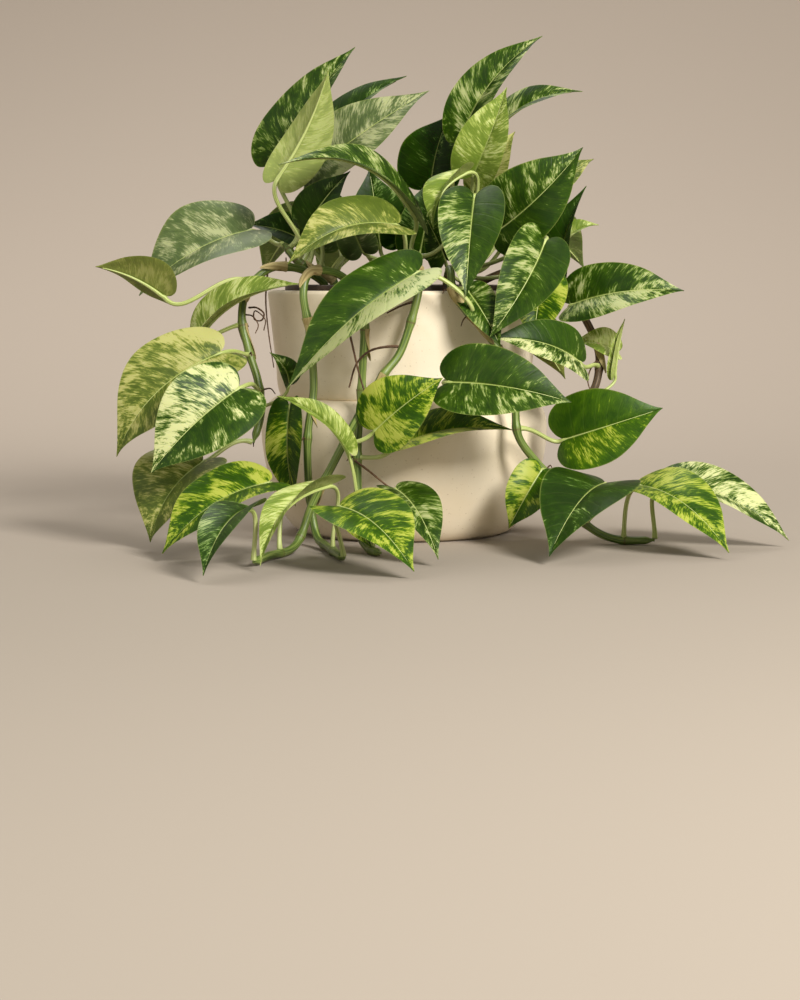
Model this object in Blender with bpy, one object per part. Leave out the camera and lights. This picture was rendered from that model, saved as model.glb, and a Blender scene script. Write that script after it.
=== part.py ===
"""Potted variegated pothos: a trailing plant in a grower pot, standing in a two-tier ceramic planter.

Metres, +Z up. The origin is the centre of the planter's flat base, and the plant's front looks along -Y.
The planter, grower pot and soil are turned shapes. Each stem is a round tube along a smooth route, and
each leaf is one solid: a petiole that leaves its stem and a heart-shaped blade folded along its midrib.
"""

import math
from collections import namedtuple

import bmesh
import bpy
from mathutils import Vector

MM = 0.001
GAP = 0.0003  # left between pieces that touch

# Planter: a rounded lower tier and a slightly flared upper tier, which meet in a waist.
PLANTER_HEIGHT = 0.178
RIM_RADIUS = 0.100
TIER_RADIUS = 0.094
TIER_ABOVE_WAIST = 0.019
WAIST_RADIUS = 0.090
WAIST_ABOVE_BULGE = 0.024
BULGE_RADIUS = 0.1055
BULGE_LEVEL = 0.077
BASE_RADIUS = 0.0755
BULGE_POWER = 1.7
PLANTER_WALL = 0.006
PLANTER_FLOOR = 0.008

# Grower pot: a tapered plastic pot that stands on the planter's floor and shows just above its rim.
# Its clearances are to the planter's inner side.
POT_RIM_ABOVE_PLANTER = 0.004
POT_RIM_CLEARANCE = 0.0065
POT_WAIST_CLEARANCE = 0.0093
POT_LIP = 0.0035
POT_LIP_HEIGHT = 0.006
POT_WALL = 0.0014
DRAIN_HOLES = 6
DRAIN_HOLE_RADIUS = 0.006
DRAIN_HOLE_SIDES = 10
DRAIN_RING_SHARE = 0.66  # of the foot's radius

# Soil: fills the grower pot to a little below its rim, heaped towards the middle.
SOIL_BELOW_RIM = 0.009
SOIL_HEAP = 0.005

# Plant
STEM_RADIUS = 0.0028
STEM_SIDES_RESOLUTION = 1
STEM_STEP = 0.014
STEM_RISE = 0.008  # upright start of a stem above the soil
FOOT_GAP = 0.0007  # between a stem and the foot of a petiole, which a bend in the stem narrows
PETIOLE_RADIUS = 0.0017
PETIOLE_SPANS = 4
MIDRIB_TAPER = 0.6
TIP_SIZE = 0.15
ARRIVE_ALONG = 0.75
ARRIVE_FACE = 0.55

# The planter that the points of the stems and leaves below are written for.
LAYOUT_HEIGHT = 0.178
LAYOUT_RIM_RADIUS = 0.100
LAYOUT_TIER_RADIUS = 0.094
LAYOUT_BULGE_RADIUS = 0.1055
LAYOUT_SOIL_RADIUS = 0.0813
SURFACE_ZONE = 0.055  # below this level the plant lies by the surface, whatever the planter's height
LYING_CLEARANCE = 0.0008  # under a stem that lies on the surface

TURN_STEPS = 36

# Half of a blade, from its notch to its tip: place along the midrib of the vein's foot, then place along
# and across of its end on the margin, as shares of the blade's length and half width.
BLADE_STATIONS = (
    (0.03, -0.10, 0.36),
    (0.08, -0.04, 0.78),
    (0.18, 0.14, 1.00),
    (0.34, 0.36, 0.95),
    (0.60, 0.62, 0.66),
    (0.85, 0.86, 0.24),
)

# Routes of the stems, millimetres. The first point gives only where the stem leaves the soil, and a
# height of 0 lies on the surface.
STEMS = {
    "crown_left": [(-52, -4), (-62, -8, 190), (-76, -12, 198), (-88, -14, 212)],
    "crown_front": [(4, -34), (7, -42, 192), (9, -46, 206)],
    "crown_right": [(44, 8), (47, 6, 198), (52, 4, 226)],
    "vine_left": [
        (-58, -34), (-74, -46, 193), (-94, -54, 194), (-110, -60, 180), (-115, -63, 160),
        (-110, -68, 136), (-103, -74, 114), (-101, -78, 92), (-106, -84, 72),
    ],
    "vine_front_left": [
        (-38, -58), (-50, -72, 191), (-65, -86, 191), (-70, -93, 176), (-66, -93, 150),
        (-63, -95, 112), (-67, -99, 80), (-67, -99, 50), (-64, -100, 22), (-60, -108, 7),
        (-52, -130, 0), (-46, -160, 0), (-40, -186, 0),
    ],
    "vine_front": [
        (10, -62), (11, -78, 191), (10, -97, 191), (9, -108, 174), (-2, -113, 138),
        (-15, -119, 120), (-32, -123, 92), (-50, -123, 58), (-63, -122, 33), (-71, -130, 11),
        (-78, -146, 0), (-90, -175, 0), (-98, -206, 0),
    ],
    "vine_center": [
        (-14, -66), (-19, -82, 190), (-23, -98, 190), (-26, -107, 170), (-29, -105, 122),
        (-30, -106, 100), (-32, -112, 76), (-32, -115, 42), (-30, -119, 14), (-25, -134, 0),
        (-16, -160, 0),
    ],
    "vine_right": [
        (30, -58), (31, -76, 191), (32, -95, 191), (35, -106, 174), (56, -102, 150),
        (73, -97, 124), (77, -95, 100), (80, -97, 76), (98, -92, 52), (114, -88, 30),
        (131, -85, 12), (150, -85, 0), (176, -90, 0),
    ],
    "vine_right_woody": [
        (58, 2), (80, -6, 193), (100, -16, 193), (116, -24, 178), (131, -31, 157),
        (140, -38, 134), (138, -46, 112), (127, -57, 94),
    ],
    "vine_back": [
        (-12, 56), (-15, 76, 191), (-17, 96, 191), (-18, 112, 172), (-10, 118, 130),
        (4, 122, 90), (10, 126, 50), (12, 136, 16), (20, 156, 0), (40, 182, 0),
    ],
}

Leaf = namedtuple("Leaf", "stem at base tip face width arch fold", defaults=(0.09, 16))

# Leaves: stem, share of the stem's length, notch and tip in millimetres, the way the upper side faces,
# width in millimetres, arch of the midrib as a share of its length, and fold of each half in degrees.
LEAVES = {
    "upper_left_1": Leaf("crown_left", 0.90, (-95, -12, 271), (-35, -22, 352), (-0.6, -0.7, 0.3), 50),
    "upper_left_2": Leaf("crown_left", 0.78, (-89, -44, 258), (-53, -62, 332), (0.5, 0.6, 0.5), 42, 0.05, 30),
    "upper_left_3": Leaf("crown_left", 0.55, (-66, 12, 278), (2, 6, 334), (-0.2, -0.5, 0.85), 42),
    "upper_left_4": Leaf("crown_left", 0.40, (-68, -22, 262), (18, -34, 320), (0.1, -0.75, 0.65), 52),
    "upper_left_5": Leaf("crown_front", 0.95, (8, -50, 231), (-88, -80, 265), (0.05, -0.4, 0.9), 46, 0.2),
    "upper_left_6": Leaf("crown_front", 0.70, (-6, -82, 224), (-80, -116, 196), (-0.1, -0.7, 0.7), 50, 0.14),
    "upper_left_7": Leaf("crown_left", 1.00, (-112, -8, 222), (-192, -28, 174), (-0.35, -0.7, 0.65), 74, 0.13),
    "upper_left_8": Leaf("vine_left", 0.38, (-170, -56, 174), (-218, -64, 195), (-0.2, 0.5, 0.85), 44),
    "upper_left_9": Leaf("vine_left", 0.54, (-145, -62, 147), (-72, -94, 183), (0.1, -0.6, 0.8), 40),
    "upper_right_1": Leaf("crown_right", 0.80, (20, 34, 255), (34, 28, 308), (-0.4, -0.8, 0.4), 60),
    "upper_right_2": Leaf("crown_right", 1.00, (42, 0, 290), (100, -10, 361), (-0.5, -0.8, 0.35), 42),
    "upper_right_3": Leaf("crown_right", 0.90, (50, -26, 261), (73, -38, 322), (-0.3, -0.9, 0.2), 42),
    "upper_right_4": Leaf("crown_right", 0.95, (62, 8, 290), (130, -4, 322), (0.0, -0.5, 0.85), 36),
    "upper_right_5": Leaf("crown_right", 0.60, (66, -46, 220), (125, -70, 278), (-0.1, -0.9, 0.35), 54),
    "upper_right_6": Leaf("vine_right_woody", 0.45, (114, 4, 184), (133, -6, 254), (-0.7, -0.6, 0.2), 34),
    "upper_right_7": Leaf("vine_right_woody", 0.55, (119, -48, 168), (197, -72, 178), (0.1, -0.8, 0.6), 50),
    "upper_right_8": Leaf("crown_front", 0.90, (49, -76, 244), (42, -120, 174), (-0.1, -0.95, 0.3), 48),
    "upper_right_9": Leaf("crown_right", 0.40, (98, -82, 212), (58, -118, 146), (0.1, -0.9, 0.4), 46),
    "upper_right_10": Leaf("crown_right", 0.25, (98, -52, 188), (90, -76, 140), (0.0, -0.9, 0.4), 40),
    "upper_right_11": Leaf("crown_right", 0.70, (44, -44, 262), (20, -66, 222), (-0.5, -0.3, 0.8), 30),
    "front_1": Leaf("vine_right", 0.27, (9, -125, 191), (-79, -150, 113), (-0.5, -0.7, 0.5), 56, 0.12),
    "front_2": Leaf("vine_center", 0.80, (-38, -138, 70), (-86, -144, 108), (0.2, -0.6, 0.7), 22),
    "front_3": Leaf("vine_front", 0.53, (-20, -132, 84), (26, -140, 120), (0.0, -0.9, 0.4), 50),
    "front_4": Leaf("vine_center", 0.64, (-10, -122, 70), (74, -128, 84), (0.0, -0.4, 0.9), 44),
    "front_5": Leaf("vine_front_left", 0.45, (-80, -94, 98), (-76, -96, 28), (-0.6, -0.8, 0.1), 34),
    "left_1": Leaf("vine_left", 0.66, (-128, -98, 135), (-200, -110, 65), (-0.25, -0.85, 0.45), 64),
    "left_2": Leaf("vine_left", 0.80, (-113, -126, 112), (-171, -146, 56), (-0.1, -0.95, 0.3), 62),
    "left_3": Leaf("vine_left", 1.00, (-140, -98, 60), (-175, -122, 6), (-0.4, -0.6, 0.7), 70),
    "right_1": Leaf("vine_right", 0.37, (30, -136, 117), (112, -152, 104), (0.1, -0.9, 0.45), 54),
    "right_2": Leaf("vine_right_woody", 0.80, (124, -76, 128), (60, -106, 146), (0.0, -0.6, 0.8), 38),
    "right_3": Leaf("vine_right", 0.56, (112, -83, 74), (180, -96, 97), (0.1, -0.9, 0.4), 58),
    "right_4": Leaf("vine_right", 0.68, (95, -104, 54), (72, -112, 14), (-0.1, -0.95, 0.3), 34),
    "lower_right_1": Leaf("vine_right", 0.83, (138, -120, 47), (94, -200, 6), (-0.1, -0.5, 0.85), 62),
    "lower_right_2": Leaf("vine_right", 0.93, (163, -103, 44), (216, -172, 5), (0.1, -0.5, 0.85), 54),
    "lower_right_3": Leaf("vine_right", 1.00, (184, -76, 42), (268, -104, 5), (0.3, -0.5, 0.8), 50),
    "lower_left_1": Leaf("vine_front", 0.85, (-92, -150, 50), (-160, -184, 6), (-0.3, -0.5, 0.8), 60),
    "lower_left_2": Leaf("vine_center", 0.93, (-6, -150, 46), (22, -206, 5), (0.2, -0.6, 0.75), 36),
    "lower_left_3": Leaf("vine_front_left", 0.88, (-50, -166, 50), (-92, -236, 5), (-0.5, -0.5, 0.7), 30),
    "lower_left_4": Leaf("vine_front_left", 1.00, (-42, -206, 40), (6, -264, 5), (0.1, -0.5, 0.85), 58),
    "lower_left_5": Leaf("vine_front", 1.00, (-100, -218, 40), (-124, -282, 5), (-0.3, -0.5, 0.8), 36),
    "back_1": Leaf("crown_left", 0.63, (-62, 66, 236), (-112, 122, 188), (-0.4, 0.6, 0.7), 56),
    "back_2": Leaf("crown_right", 0.70, (18, 84, 244), (28, 150, 206), (0.0, 0.6, 0.8), 54),
    "back_3": Leaf("crown_right", 0.50, (86, 60, 228), (142, 108, 194), (0.4, 0.6, 0.7), 54),
    "back_4": Leaf("vine_back", 0.50, (-50, 126, 152), (-74, 172, 88), (-0.3, 0.9, 0.4), 56),
    "back_5": Leaf("vine_back", 0.65, (40, 136, 122), (58, 174, 58), (0.3, 0.9, 0.4), 54),
    "back_6": Leaf("vine_back", 0.35, (80, 104, 160), (130, 138, 106), (0.4, 0.8, 0.5), 50),
    "back_7": Leaf("vine_back", 1.00, (50, 192, 38), (88, 246, 6), (0.2, 0.4, 0.9), 50),
}

CERAMIC = ((0.84, 0.74, 0.57), 0.55)
POT_PLASTIC = ((0.10, 0.06, 0.045), 0.5)
SOIL = ((0.07, 0.045, 0.03), 0.95)
STEM_GREEN = ((0.30, 0.38, 0.12), 0.5)
STEM_WOODY = ((0.22, 0.14, 0.07), 0.6)
LEAF_GREEN = ((0.16, 0.33, 0.06), 0.35)
LEAF_PALE = ((0.55, 0.62, 0.30), 0.4)
WOODY_STEMS = {"vine_right_woody"}
PALE_LEAVES = {
    "upper_left_2", "upper_left_6", "upper_left_9", "upper_right_3", "upper_right_11",
    "front_2", "lower_left_3", "lower_right_3",
}


def clear_scene():
    """Removes the objects of the startup scene."""
    for obj in list(bpy.data.objects):
        bpy.data.objects.remove(obj, do_unlink=True)


def finish_of(name, colour, roughness):
    """A Principled material of its own for the object of this name."""
    material = bpy.data.materials.new(name)
    material.use_nodes = True
    shader = material.node_tree.nodes["Principled BSDF"]
    shader.inputs["Base Color"].default_value = (*colour, 1)
    shader.inputs["Roughness"].default_value = roughness
    shader.inputs["Metallic"].default_value = 0
    return material


def add_object(name, data, finish):
    obj = bpy.data.objects.new(name, data)
    bpy.context.collection.objects.link(obj)
    data.materials.append(finish_of(name, *finish))
    return obj


# Turned pieces


def arc(start, end, power, spans, bulge_first):
    """Points after start up to end on a quarter of a superellipse, upright at one end and level at the other.

    bulge_first: the curve is upright where it starts, so its radius changes last.
    """
    points = []
    for i in range(1, spans + 1):
        angle = math.pi / 2 * i / spans
        rise, turn = math.sin(angle) ** (2 / power), math.cos(angle) ** (2 / power)
        if bulge_first:
            radius, level = end[0] + (start[0] - end[0]) * turn, start[1] + (end[1] - start[1]) * rise
        else:
            radius, level = start[0] + (end[0] - start[0]) * rise, end[1] + (start[1] - end[1]) * turn
        points.append((radius, level))
    return points


def turned(name, profile, finish):
    """A solid turned about Z from (radius, level) points that run up the inside and down the outside."""
    mesh = bpy.data.meshes.new(name)
    points = [(radius, 0, level) for radius, level in profile]
    mesh.from_pydata(points, [(i, i + 1) for i in range(len(points) - 1)], [])
    obj = add_object(name, mesh, finish)
    screw = obj.modifiers.new("Turn", "SCREW")
    screw.steps = TURN_STEPS
    screw.render_steps = TURN_STEPS
    screw.use_merge_vertices = True
    screw.merge_threshold = 0.00001
    screw.use_smooth_shade = True
    return obj


def waist_level():
    return BULGE_LEVEL + WAIST_ABOVE_BULGE


def tier_level():
    return waist_level() + TIER_ABOVE_WAIST


def planter_outside():
    """The planter's outer profile, from the edge of its base up to its rim."""
    foot, bulge = (BASE_RADIUS, 0), (BULGE_RADIUS, BULGE_LEVEL)
    waist, tier = (WAIST_RADIUS, waist_level()), (TIER_RADIUS, tier_level())
    return (
        [foot]
        + arc(foot, bulge, BULGE_POWER, 6, False)
        + arc(bulge, waist, 2, 4, True)
        + arc(waist, tier, 2, 3, False)
        + [(RIM_RADIUS, PLANTER_HEIGHT - PLANTER_WALL / 2)]
    )


def planter_radius(level):
    """The planter's outer radius at a level."""
    outside = planter_outside()
    for (low_r, low_z), (high_r, high_z) in zip(outside, outside[1:]):
        if low_z <= level <= high_z and high_z > low_z:
            return low_r + (high_r - low_r) * (level - low_z) / (high_z - low_z)
    return RIM_RADIUS


def build_planter():
    outside = planter_outside()
    floor_radius = planter_radius(PLANTER_FLOOR) - PLANTER_WALL
    inside = [(0, PLANTER_FLOOR), (floor_radius, PLANTER_FLOOR)]
    inside += [(r - PLANTER_WALL, z) for r, z in outside if z > 2 * PLANTER_FLOOR]
    rim_middle = RIM_RADIUS - PLANTER_WALL / 2
    rim = [(rim_middle - PLANTER_WALL / 4, PLANTER_HEIGHT), (rim_middle + PLANTER_WALL / 4, PLANTER_HEIGHT)]
    turned("planter", inside + rim + outside[::-1] + [(0, 0)], CERAMIC)


def pot_levels():
    """Foot and rim levels of the grower pot."""
    return PLANTER_FLOOR + GAP, PLANTER_HEIGHT + POT_RIM_ABOVE_PLANTER


def pot_radius(level):
    """Outer radius of the grower pot's wall at a level: a straight taper that clears the planter's waist."""
    rim = pot_levels()[1]
    at_rim = RIM_RADIUS - PLANTER_WALL - POT_RIM_CLEARANCE - POT_LIP
    at_waist = WAIST_RADIUS - PLANTER_WALL - POT_WAIST_CLEARANCE
    return at_rim + (at_waist - at_rim) * (rim - level) / (rim - waist_level())


def drain_hole_cutter(level):
    """A hidden ring of cylinders through the grower pot's floor, whose middle is at this level."""
    cutters = bmesh.new()
    ring = DRAIN_RING_SHARE * pot_radius(level)
    for i in range(DRAIN_HOLES):
        angle = math.tau * i / DRAIN_HOLES
        hole = bmesh.ops.create_cone(
            cutters, cap_ends=True, segments=DRAIN_HOLE_SIDES, depth=4 * POT_WALL,
            radius1=DRAIN_HOLE_RADIUS, radius2=DRAIN_HOLE_RADIUS,
        )
        place = Vector((math.cos(angle) * ring, math.sin(angle) * ring, level))
        bmesh.ops.translate(cutters, verts=hole["verts"], vec=place)
    mesh = bpy.data.meshes.new("drain_holes")
    cutters.to_mesh(mesh)
    cutters.free()
    cutter = bpy.data.objects.new("drain_holes", mesh)
    bpy.context.collection.objects.link(cutter)
    cutter.hide_render = True
    cutter.display_type = "WIRE"
    return cutter


def build_grower_pot():
    foot, rim = pot_levels()
    lip = pot_radius(rim) + POT_LIP
    floor = foot + POT_WALL
    inside = [(0, floor), (pot_radius(floor) - POT_WALL, floor), (pot_radius(rim) - POT_WALL, rim)]
    lip_foot = rim - POT_LIP_HEIGHT
    outside = [(lip, rim), (lip, lip_foot), (pot_radius(lip_foot), lip_foot)]
    outside += [(pot_radius(foot), foot), (0, foot)]
    pot = turned("grower_pot", inside + outside, POT_PLASTIC)
    cut = pot.modifiers.new("Drain holes", "BOOLEAN")
    cut.operation = "DIFFERENCE"
    cut.object = drain_hole_cutter(foot + POT_WALL / 2)


def soil_edge():
    """Radius and level of the soil's edge, against the grower pot's wall."""
    level = pot_levels()[1] - SOIL_BELOW_RIM
    return pot_radius(level) - POT_WALL - GAP, level


def soil_level(x, y):
    """Height of the soil's surface over a point."""
    radius, level = soil_edge()
    return level + SOIL_HEAP * max(0, 1 - (x * x + y * y) / radius**2)


def build_soil():
    radius, level = soil_edge()
    bottom = pot_levels()[0] + POT_WALL + GAP
    heap = [(radius * share, soil_level(radius * share, 0)) for share in (0, 0.3, 0.6, 0.8)]
    bottom_radius = pot_radius(bottom) - POT_WALL - GAP
    turned("soil", heap + [(radius, level), (bottom_radius, bottom), (0, bottom)], SOIL)


# Plant


def around_planter(point):
    """A layout point in millimetres, moved out and up by what the planter has grown since the layout."""
    x, y, z = (value * MM for value in point)
    wider = max(
        RIM_RADIUS - LAYOUT_RIM_RADIUS, TIER_RADIUS - LAYOUT_TIER_RADIUS, BULGE_RADIUS - LAYOUT_BULGE_RADIUS
    )
    radius = math.hypot(x, y)
    spread = 1 + wider * min(radius / LAYOUT_SOIL_RADIUS, 1) / radius
    above_surface = max(0, min((z - SURFACE_ZONE) / (LAYOUT_HEIGHT - SURFACE_ZONE), 1))
    return Vector((x * spread, y * spread, z + (PLANTER_HEIGHT - LAYOUT_HEIGHT) * above_surface))


def smooth_path(points, step):
    """Points about a step apart on a Catmull-Rom curve through the given ones."""
    ends = [points[0] * 2 - points[1], *points, points[-1] * 2 - points[-2]]
    path = [points[0]]
    for before, start, end, after in zip(ends, ends[1:], ends[2:], ends[3:]):
        spans = max(1, round((end - start).length / step))
        for i in range(1, spans + 1):
            t = i / spans
            path.append(
                0.5 * (2 * start + (end - before) * t + (2 * before - 5 * start + 4 * end - after) * t * t
                       + (3 * start - before - 3 * end + after) * t**3)
            )
    return path


def stem_path(name):
    """A stem's centre line, from just above the soil to its end."""
    (x, y), *route = STEMS[name]
    wider = soil_edge()[0] / LAYOUT_SOIL_RADIUS * MM
    start = Vector((x * wider, y * wider, soil_level(x * wider, y * wider) + 2 * GAP))
    points = [start, start + Vector((0, 0, STEM_RISE))] + [around_planter(point) for point in route]
    for point in points:
        point.z = max(point.z, STEM_RADIUS + LYING_CLEARANCE)
    return smooth_path(points, STEM_STEP)


def point_along(path, share):
    """Point and direction at a share of a path's length."""
    lengths = [(b - a).length for a, b in zip(path, path[1:])]
    left = share * sum(lengths)
    for a, b, length in zip(path, path[1:], lengths):
        if left <= length:
            return a.lerp(b, left / length), (b - a).normalized()
        left -= length
    return path[-1].copy(), (path[-1] - path[-2]).normalized()


def build_stem(name):
    curve = bpy.data.curves.new(name, "CURVE")
    curve.dimensions = "3D"
    curve.bevel_depth = STEM_RADIUS
    curve.bevel_resolution = STEM_SIDES_RESOLUTION
    curve.use_fill_caps = True
    path = stem_path(name)
    spline = curve.splines.new("POLY")
    spline.points.add(len(path) - 1)
    for point, place in zip(spline.points, path):
        point.co = (*place, 1)
    add_object(name, curve, STEM_WOODY if name in WOODY_STEMS else STEM_GREEN)


def blade_frame(leaf):
    """Notch of a blade, its length, and the ways along it, out of its upper side and across it."""
    base = around_planter(leaf.base)
    along = Vector(leaf.tip) * MM - Vector(leaf.base) * MM
    length = along.length
    along.normalize()
    face = Vector(leaf.face)
    face = (face - along * face.dot(along)).normalized()
    return base, length, along, face, along.cross(face)


def petiole_sections(leaf, base, along, face, across):
    """Six-sided sections from the leaf's stem to its notch, on a curve that arrives from under the blade."""
    foot, stem_way = point_along(stem_path(leaf.stem), leaf.at)
    reach = base - foot
    leave = reach + Vector((0, 0, 0.3 * reach.length))
    leave = (leave - stem_way * leave.dot(stem_way)).normalized()
    foot = foot + leave * (STEM_RADIUS + FOOT_GAP)
    arrive = (along * ARRIVE_ALONG + face * ARRIVE_FACE).normalized()
    pull = 0.4 * (base - foot).length
    controls = (foot, foot + leave * pull, base - arrive * pull, base)
    sections = []
    side = across
    for i in range(PETIOLE_SPANS, -1, -1):
        t = i / PETIOLE_SPANS
        weights = ((1 - t)**3, 3 * t * (1 - t)**2, 3 * t * t * (1 - t), t**3)
        centre = sum((point * weight for point, weight in zip(controls, weights)), Vector())
        way = (
            (controls[1] - controls[0]) * (1 - t)**2
            + (controls[2] - controls[1]) * 2 * t * (1 - t)
            + (controls[3] - controls[2]) * t * t
        ).normalized()
        side = (side - way * side.dot(way)).normalized()
        up = side.cross(way)
        angles = [math.tau * k / 6 for k in range(6)]
        sections.append(
            [centre + (side * math.cos(a) + up * math.sin(a)) * PETIOLE_RADIUS for a in angles]
        )
    return sections[::-1]


def blade_sections(leaf, base, length, along, face, across):
    """Six-sided sections of the blade: two margins and the four edges of its midrib."""
    fold = math.radians(leaf.fold)
    out = across * math.cos(fold) + face * math.sin(fold)
    back = -across * math.cos(fold) + face * math.sin(fold)
    half_width = leaf.width * MM / 2

    def midrib(share):
        return base + along * length * share + face * (leaf.arch * length * 4 * share * (1 - share))

    sections = []
    for foot, ahead, reach in BLADE_STATIONS + ((1, 1, TIP_SIZE * PETIOLE_RADIUS * 2 / half_width),):
        rib = PETIOLE_RADIUS * (1 - MIDRIB_TAPER * foot)
        if foot == 1:
            rib = PETIOLE_RADIUS * TIP_SIZE
        centre, margin = midrib(foot), midrib(ahead)
        sides, depth = across * rib / 2, face * rib * math.sqrt(3) / 2
        sections.append([
            margin + out * (half_width * reach), centre + sides + depth, centre - sides + depth,
            margin + back * (half_width * reach), centre - sides - depth, centre + sides - depth,
        ])
    return sections


def build_leaf(name):
    """A leaf as one closed loft through its petiole's and its blade's sections."""
    leaf = LEAVES[name]
    node = f"leaf_{name}"
    base, length, along, face, across = blade_frame(leaf)
    sections = petiole_sections(leaf, base, along, face, across)
    sections += blade_sections(leaf, base, length, along, face, across)
    mesh = bpy.data.meshes.new(node)
    loft = bmesh.new()
    rings = [[loft.verts.new(point) for point in section] for section in sections]
    for ring, following in zip(rings, rings[1:]):
        for k in range(6):
            loft.faces.new((ring[k], ring[(k + 1) % 6], following[(k + 1) % 6], following[k]))
    loft.faces.new(rings[0])
    loft.faces.new(rings[-1])
    bmesh.ops.recalc_face_normals(loft, faces=loft.faces)
    loft.to_mesh(mesh)
    loft.free()
    add_object(node, mesh, LEAF_PALE if name in PALE_LEAVES else LEAF_GREEN)


def main():
    clear_scene()
    build_planter()
    build_grower_pot()
    build_soil()
    for name in STEMS:
        build_stem(name)
    for name in LEAVES:
        build_leaf(name)


main()
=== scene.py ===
"""Looks of the potted variegated pothos: fine leaves, stems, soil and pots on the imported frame.

Metres, +Z up, in the frame's own axes: the origin is the centre of the planter's base and the plant's
front looks along -Y. The plant's layout below is in millimetres and is the one that the solids follow,
but for right_2 and upper_right_5, whose blades are a little wider here, the first also turned forward.
"""

import logging
import math
from collections.abc import Callable
from dataclasses import dataclass, field
from enum import Enum
from statistics import NormalDist

import bpy
import numpy as np
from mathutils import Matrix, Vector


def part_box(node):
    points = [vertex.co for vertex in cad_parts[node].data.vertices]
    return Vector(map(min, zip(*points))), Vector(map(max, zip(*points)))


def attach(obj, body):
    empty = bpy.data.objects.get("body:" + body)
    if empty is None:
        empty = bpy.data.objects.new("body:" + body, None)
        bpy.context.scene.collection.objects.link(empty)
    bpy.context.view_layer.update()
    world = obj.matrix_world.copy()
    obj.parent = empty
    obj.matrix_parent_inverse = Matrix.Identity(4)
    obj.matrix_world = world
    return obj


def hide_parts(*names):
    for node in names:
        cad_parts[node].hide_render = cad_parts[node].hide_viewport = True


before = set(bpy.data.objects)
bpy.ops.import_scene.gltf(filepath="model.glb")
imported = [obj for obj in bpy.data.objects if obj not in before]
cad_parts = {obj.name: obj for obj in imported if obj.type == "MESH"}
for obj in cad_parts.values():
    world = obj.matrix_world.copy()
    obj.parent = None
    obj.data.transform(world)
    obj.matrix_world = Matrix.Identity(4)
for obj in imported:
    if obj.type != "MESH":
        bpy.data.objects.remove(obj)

Array = np.ndarray
Colour = tuple[float, float, float]
Point = tuple[float, float, float]

MM = 0.001
TURN_SEGMENTS = 160
RIGHT_ANGLE = math.pi / 2
FULL_TURN = 2 * math.pi
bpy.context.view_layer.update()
LOG = logging.getLogger("pothos")


# Layout of the plant


class Tone(Enum):
    """Families of leaf colour on one plant."""

    MARBLED = "dark green with grey-green and cream streaks"
    WHITE = "dark green with broad cream streaks"
    LIME = "bright green with yellow-green streaks"
    OLIVE = "dull olive with cream streaks"
    PALE = "soft pale green"
    # Grey-green: a sheen painted into the leaf's colour.
    PAINTED_SHEEN_GREY = "grey-green"
    DARK = "deep green with few flecks"


@dataclass(frozen=True)
class LeafSpec:
    """Place and habit of one leaf.

    Attributes:
        stem: The stem that the petiole leaves.
        at: Share of the stem's length where it leaves.
        base: Notch of the blade, millimetres.
        tip: Tip of the blade, millimetres.
        face: The way the upper side faces.
        width: Width of the blade, millimetres.
        arch: Height of the midrib's arch as a share of the blade's length.
        fold: Angle that each half is folded up by, degrees.
        tone: Family of colour.
        left: Share of the half on the blade's own left that is cream.
        right: The same for the half on its right.
        bend: Sideways sweep of the tip as a share of the length.
        twist: Turn of the blade about its midrib from notch to tip, degrees.
        curl: Drop of the tip as a share of the length.
    """

    stem: str
    at: float
    base: Point
    tip: Point
    face: Point
    width: float
    arch: float = 0.09
    fold: float = 16
    tone: Tone = Tone.MARBLED
    left: float = 0.3
    right: float = 0.3
    bend: float = 0.0
    twist: float = 0.0
    curl: float = 0.0


STEMS: dict[str, list[tuple[float, ...]]] = {
    "crown_left": [(-52, -4), (-62, -8, 190), (-76, -12, 198), (-88, -14, 212)],
    "crown_front": [(4, -34), (7, -42, 192), (9, -46, 206)],
    "crown_right": [(44, 8), (47, 6, 198), (52, 4, 226)],
    "vine_left": [
        (-58, -34), (-74, -46, 193), (-94, -54, 194), (-110, -60, 180), (-115, -63, 160),
        (-110, -68, 136), (-103, -74, 114), (-101, -78, 92), (-106, -84, 72),
    ],
    "vine_front_left": [
        (-38, -58), (-50, -72, 191), (-65, -86, 191), (-70, -93, 176), (-66, -93, 150),
        (-63, -95, 112), (-67, -99, 80), (-67, -99, 50), (-64, -100, 22), (-60, -108, 7),
        (-52, -130, 3.6), (-46, -160, 3.6), (-40, -186, 3.6),
    ],
    "vine_front": [
        (10, -62), (11, -78, 191), (10, -97, 191), (9, -108, 174), (-2, -113, 138),
        (-15, -119, 120), (-32, -123, 92), (-50, -123, 58), (-63, -122, 33), (-71, -130, 11),
        (-78, -146, 3.6), (-90, -175, 3.6), (-98, -206, 3.6),
    ],
    "vine_center": [
        (-14, -66), (-19, -82, 190), (-23, -98, 190), (-26, -107, 170), (-29, -105, 122),
        (-30, -106, 100), (-32, -112, 76), (-32, -115, 42), (-30, -119, 14), (-25, -134, 3.6),
        (-16, -160, 3.6),
    ],
    "vine_right": [
        (30, -58), (31, -76, 191), (32, -95, 191), (35, -106, 174), (56, -102, 150),
        (73, -97, 124), (77, -95, 100), (80, -97, 76), (98, -92, 52), (114, -88, 30),
        (131, -85, 12), (150, -85, 3.6), (176, -90, 3.6),
    ],
    "vine_right_woody": [
        (58, 2), (80, -6, 193), (100, -16, 193), (116, -24, 178), (131, -31, 157),
        (140, -38, 134), (138, -46, 112), (127, -57, 94),
    ],
    "vine_back": [
        (-12, 56), (-15, 76, 191), (-17, 96, 191), (-18, 112, 172), (-10, 118, 130),
        (4, 122, 90), (10, 126, 50), (12, 136, 16), (20, 156, 3.6), (40, 182, 3.6),
    ],
}
WOODY_STEMS = {"vine_right_woody"}

M, W, LI, OL, PA, SHEEN, DA = Tone


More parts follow.
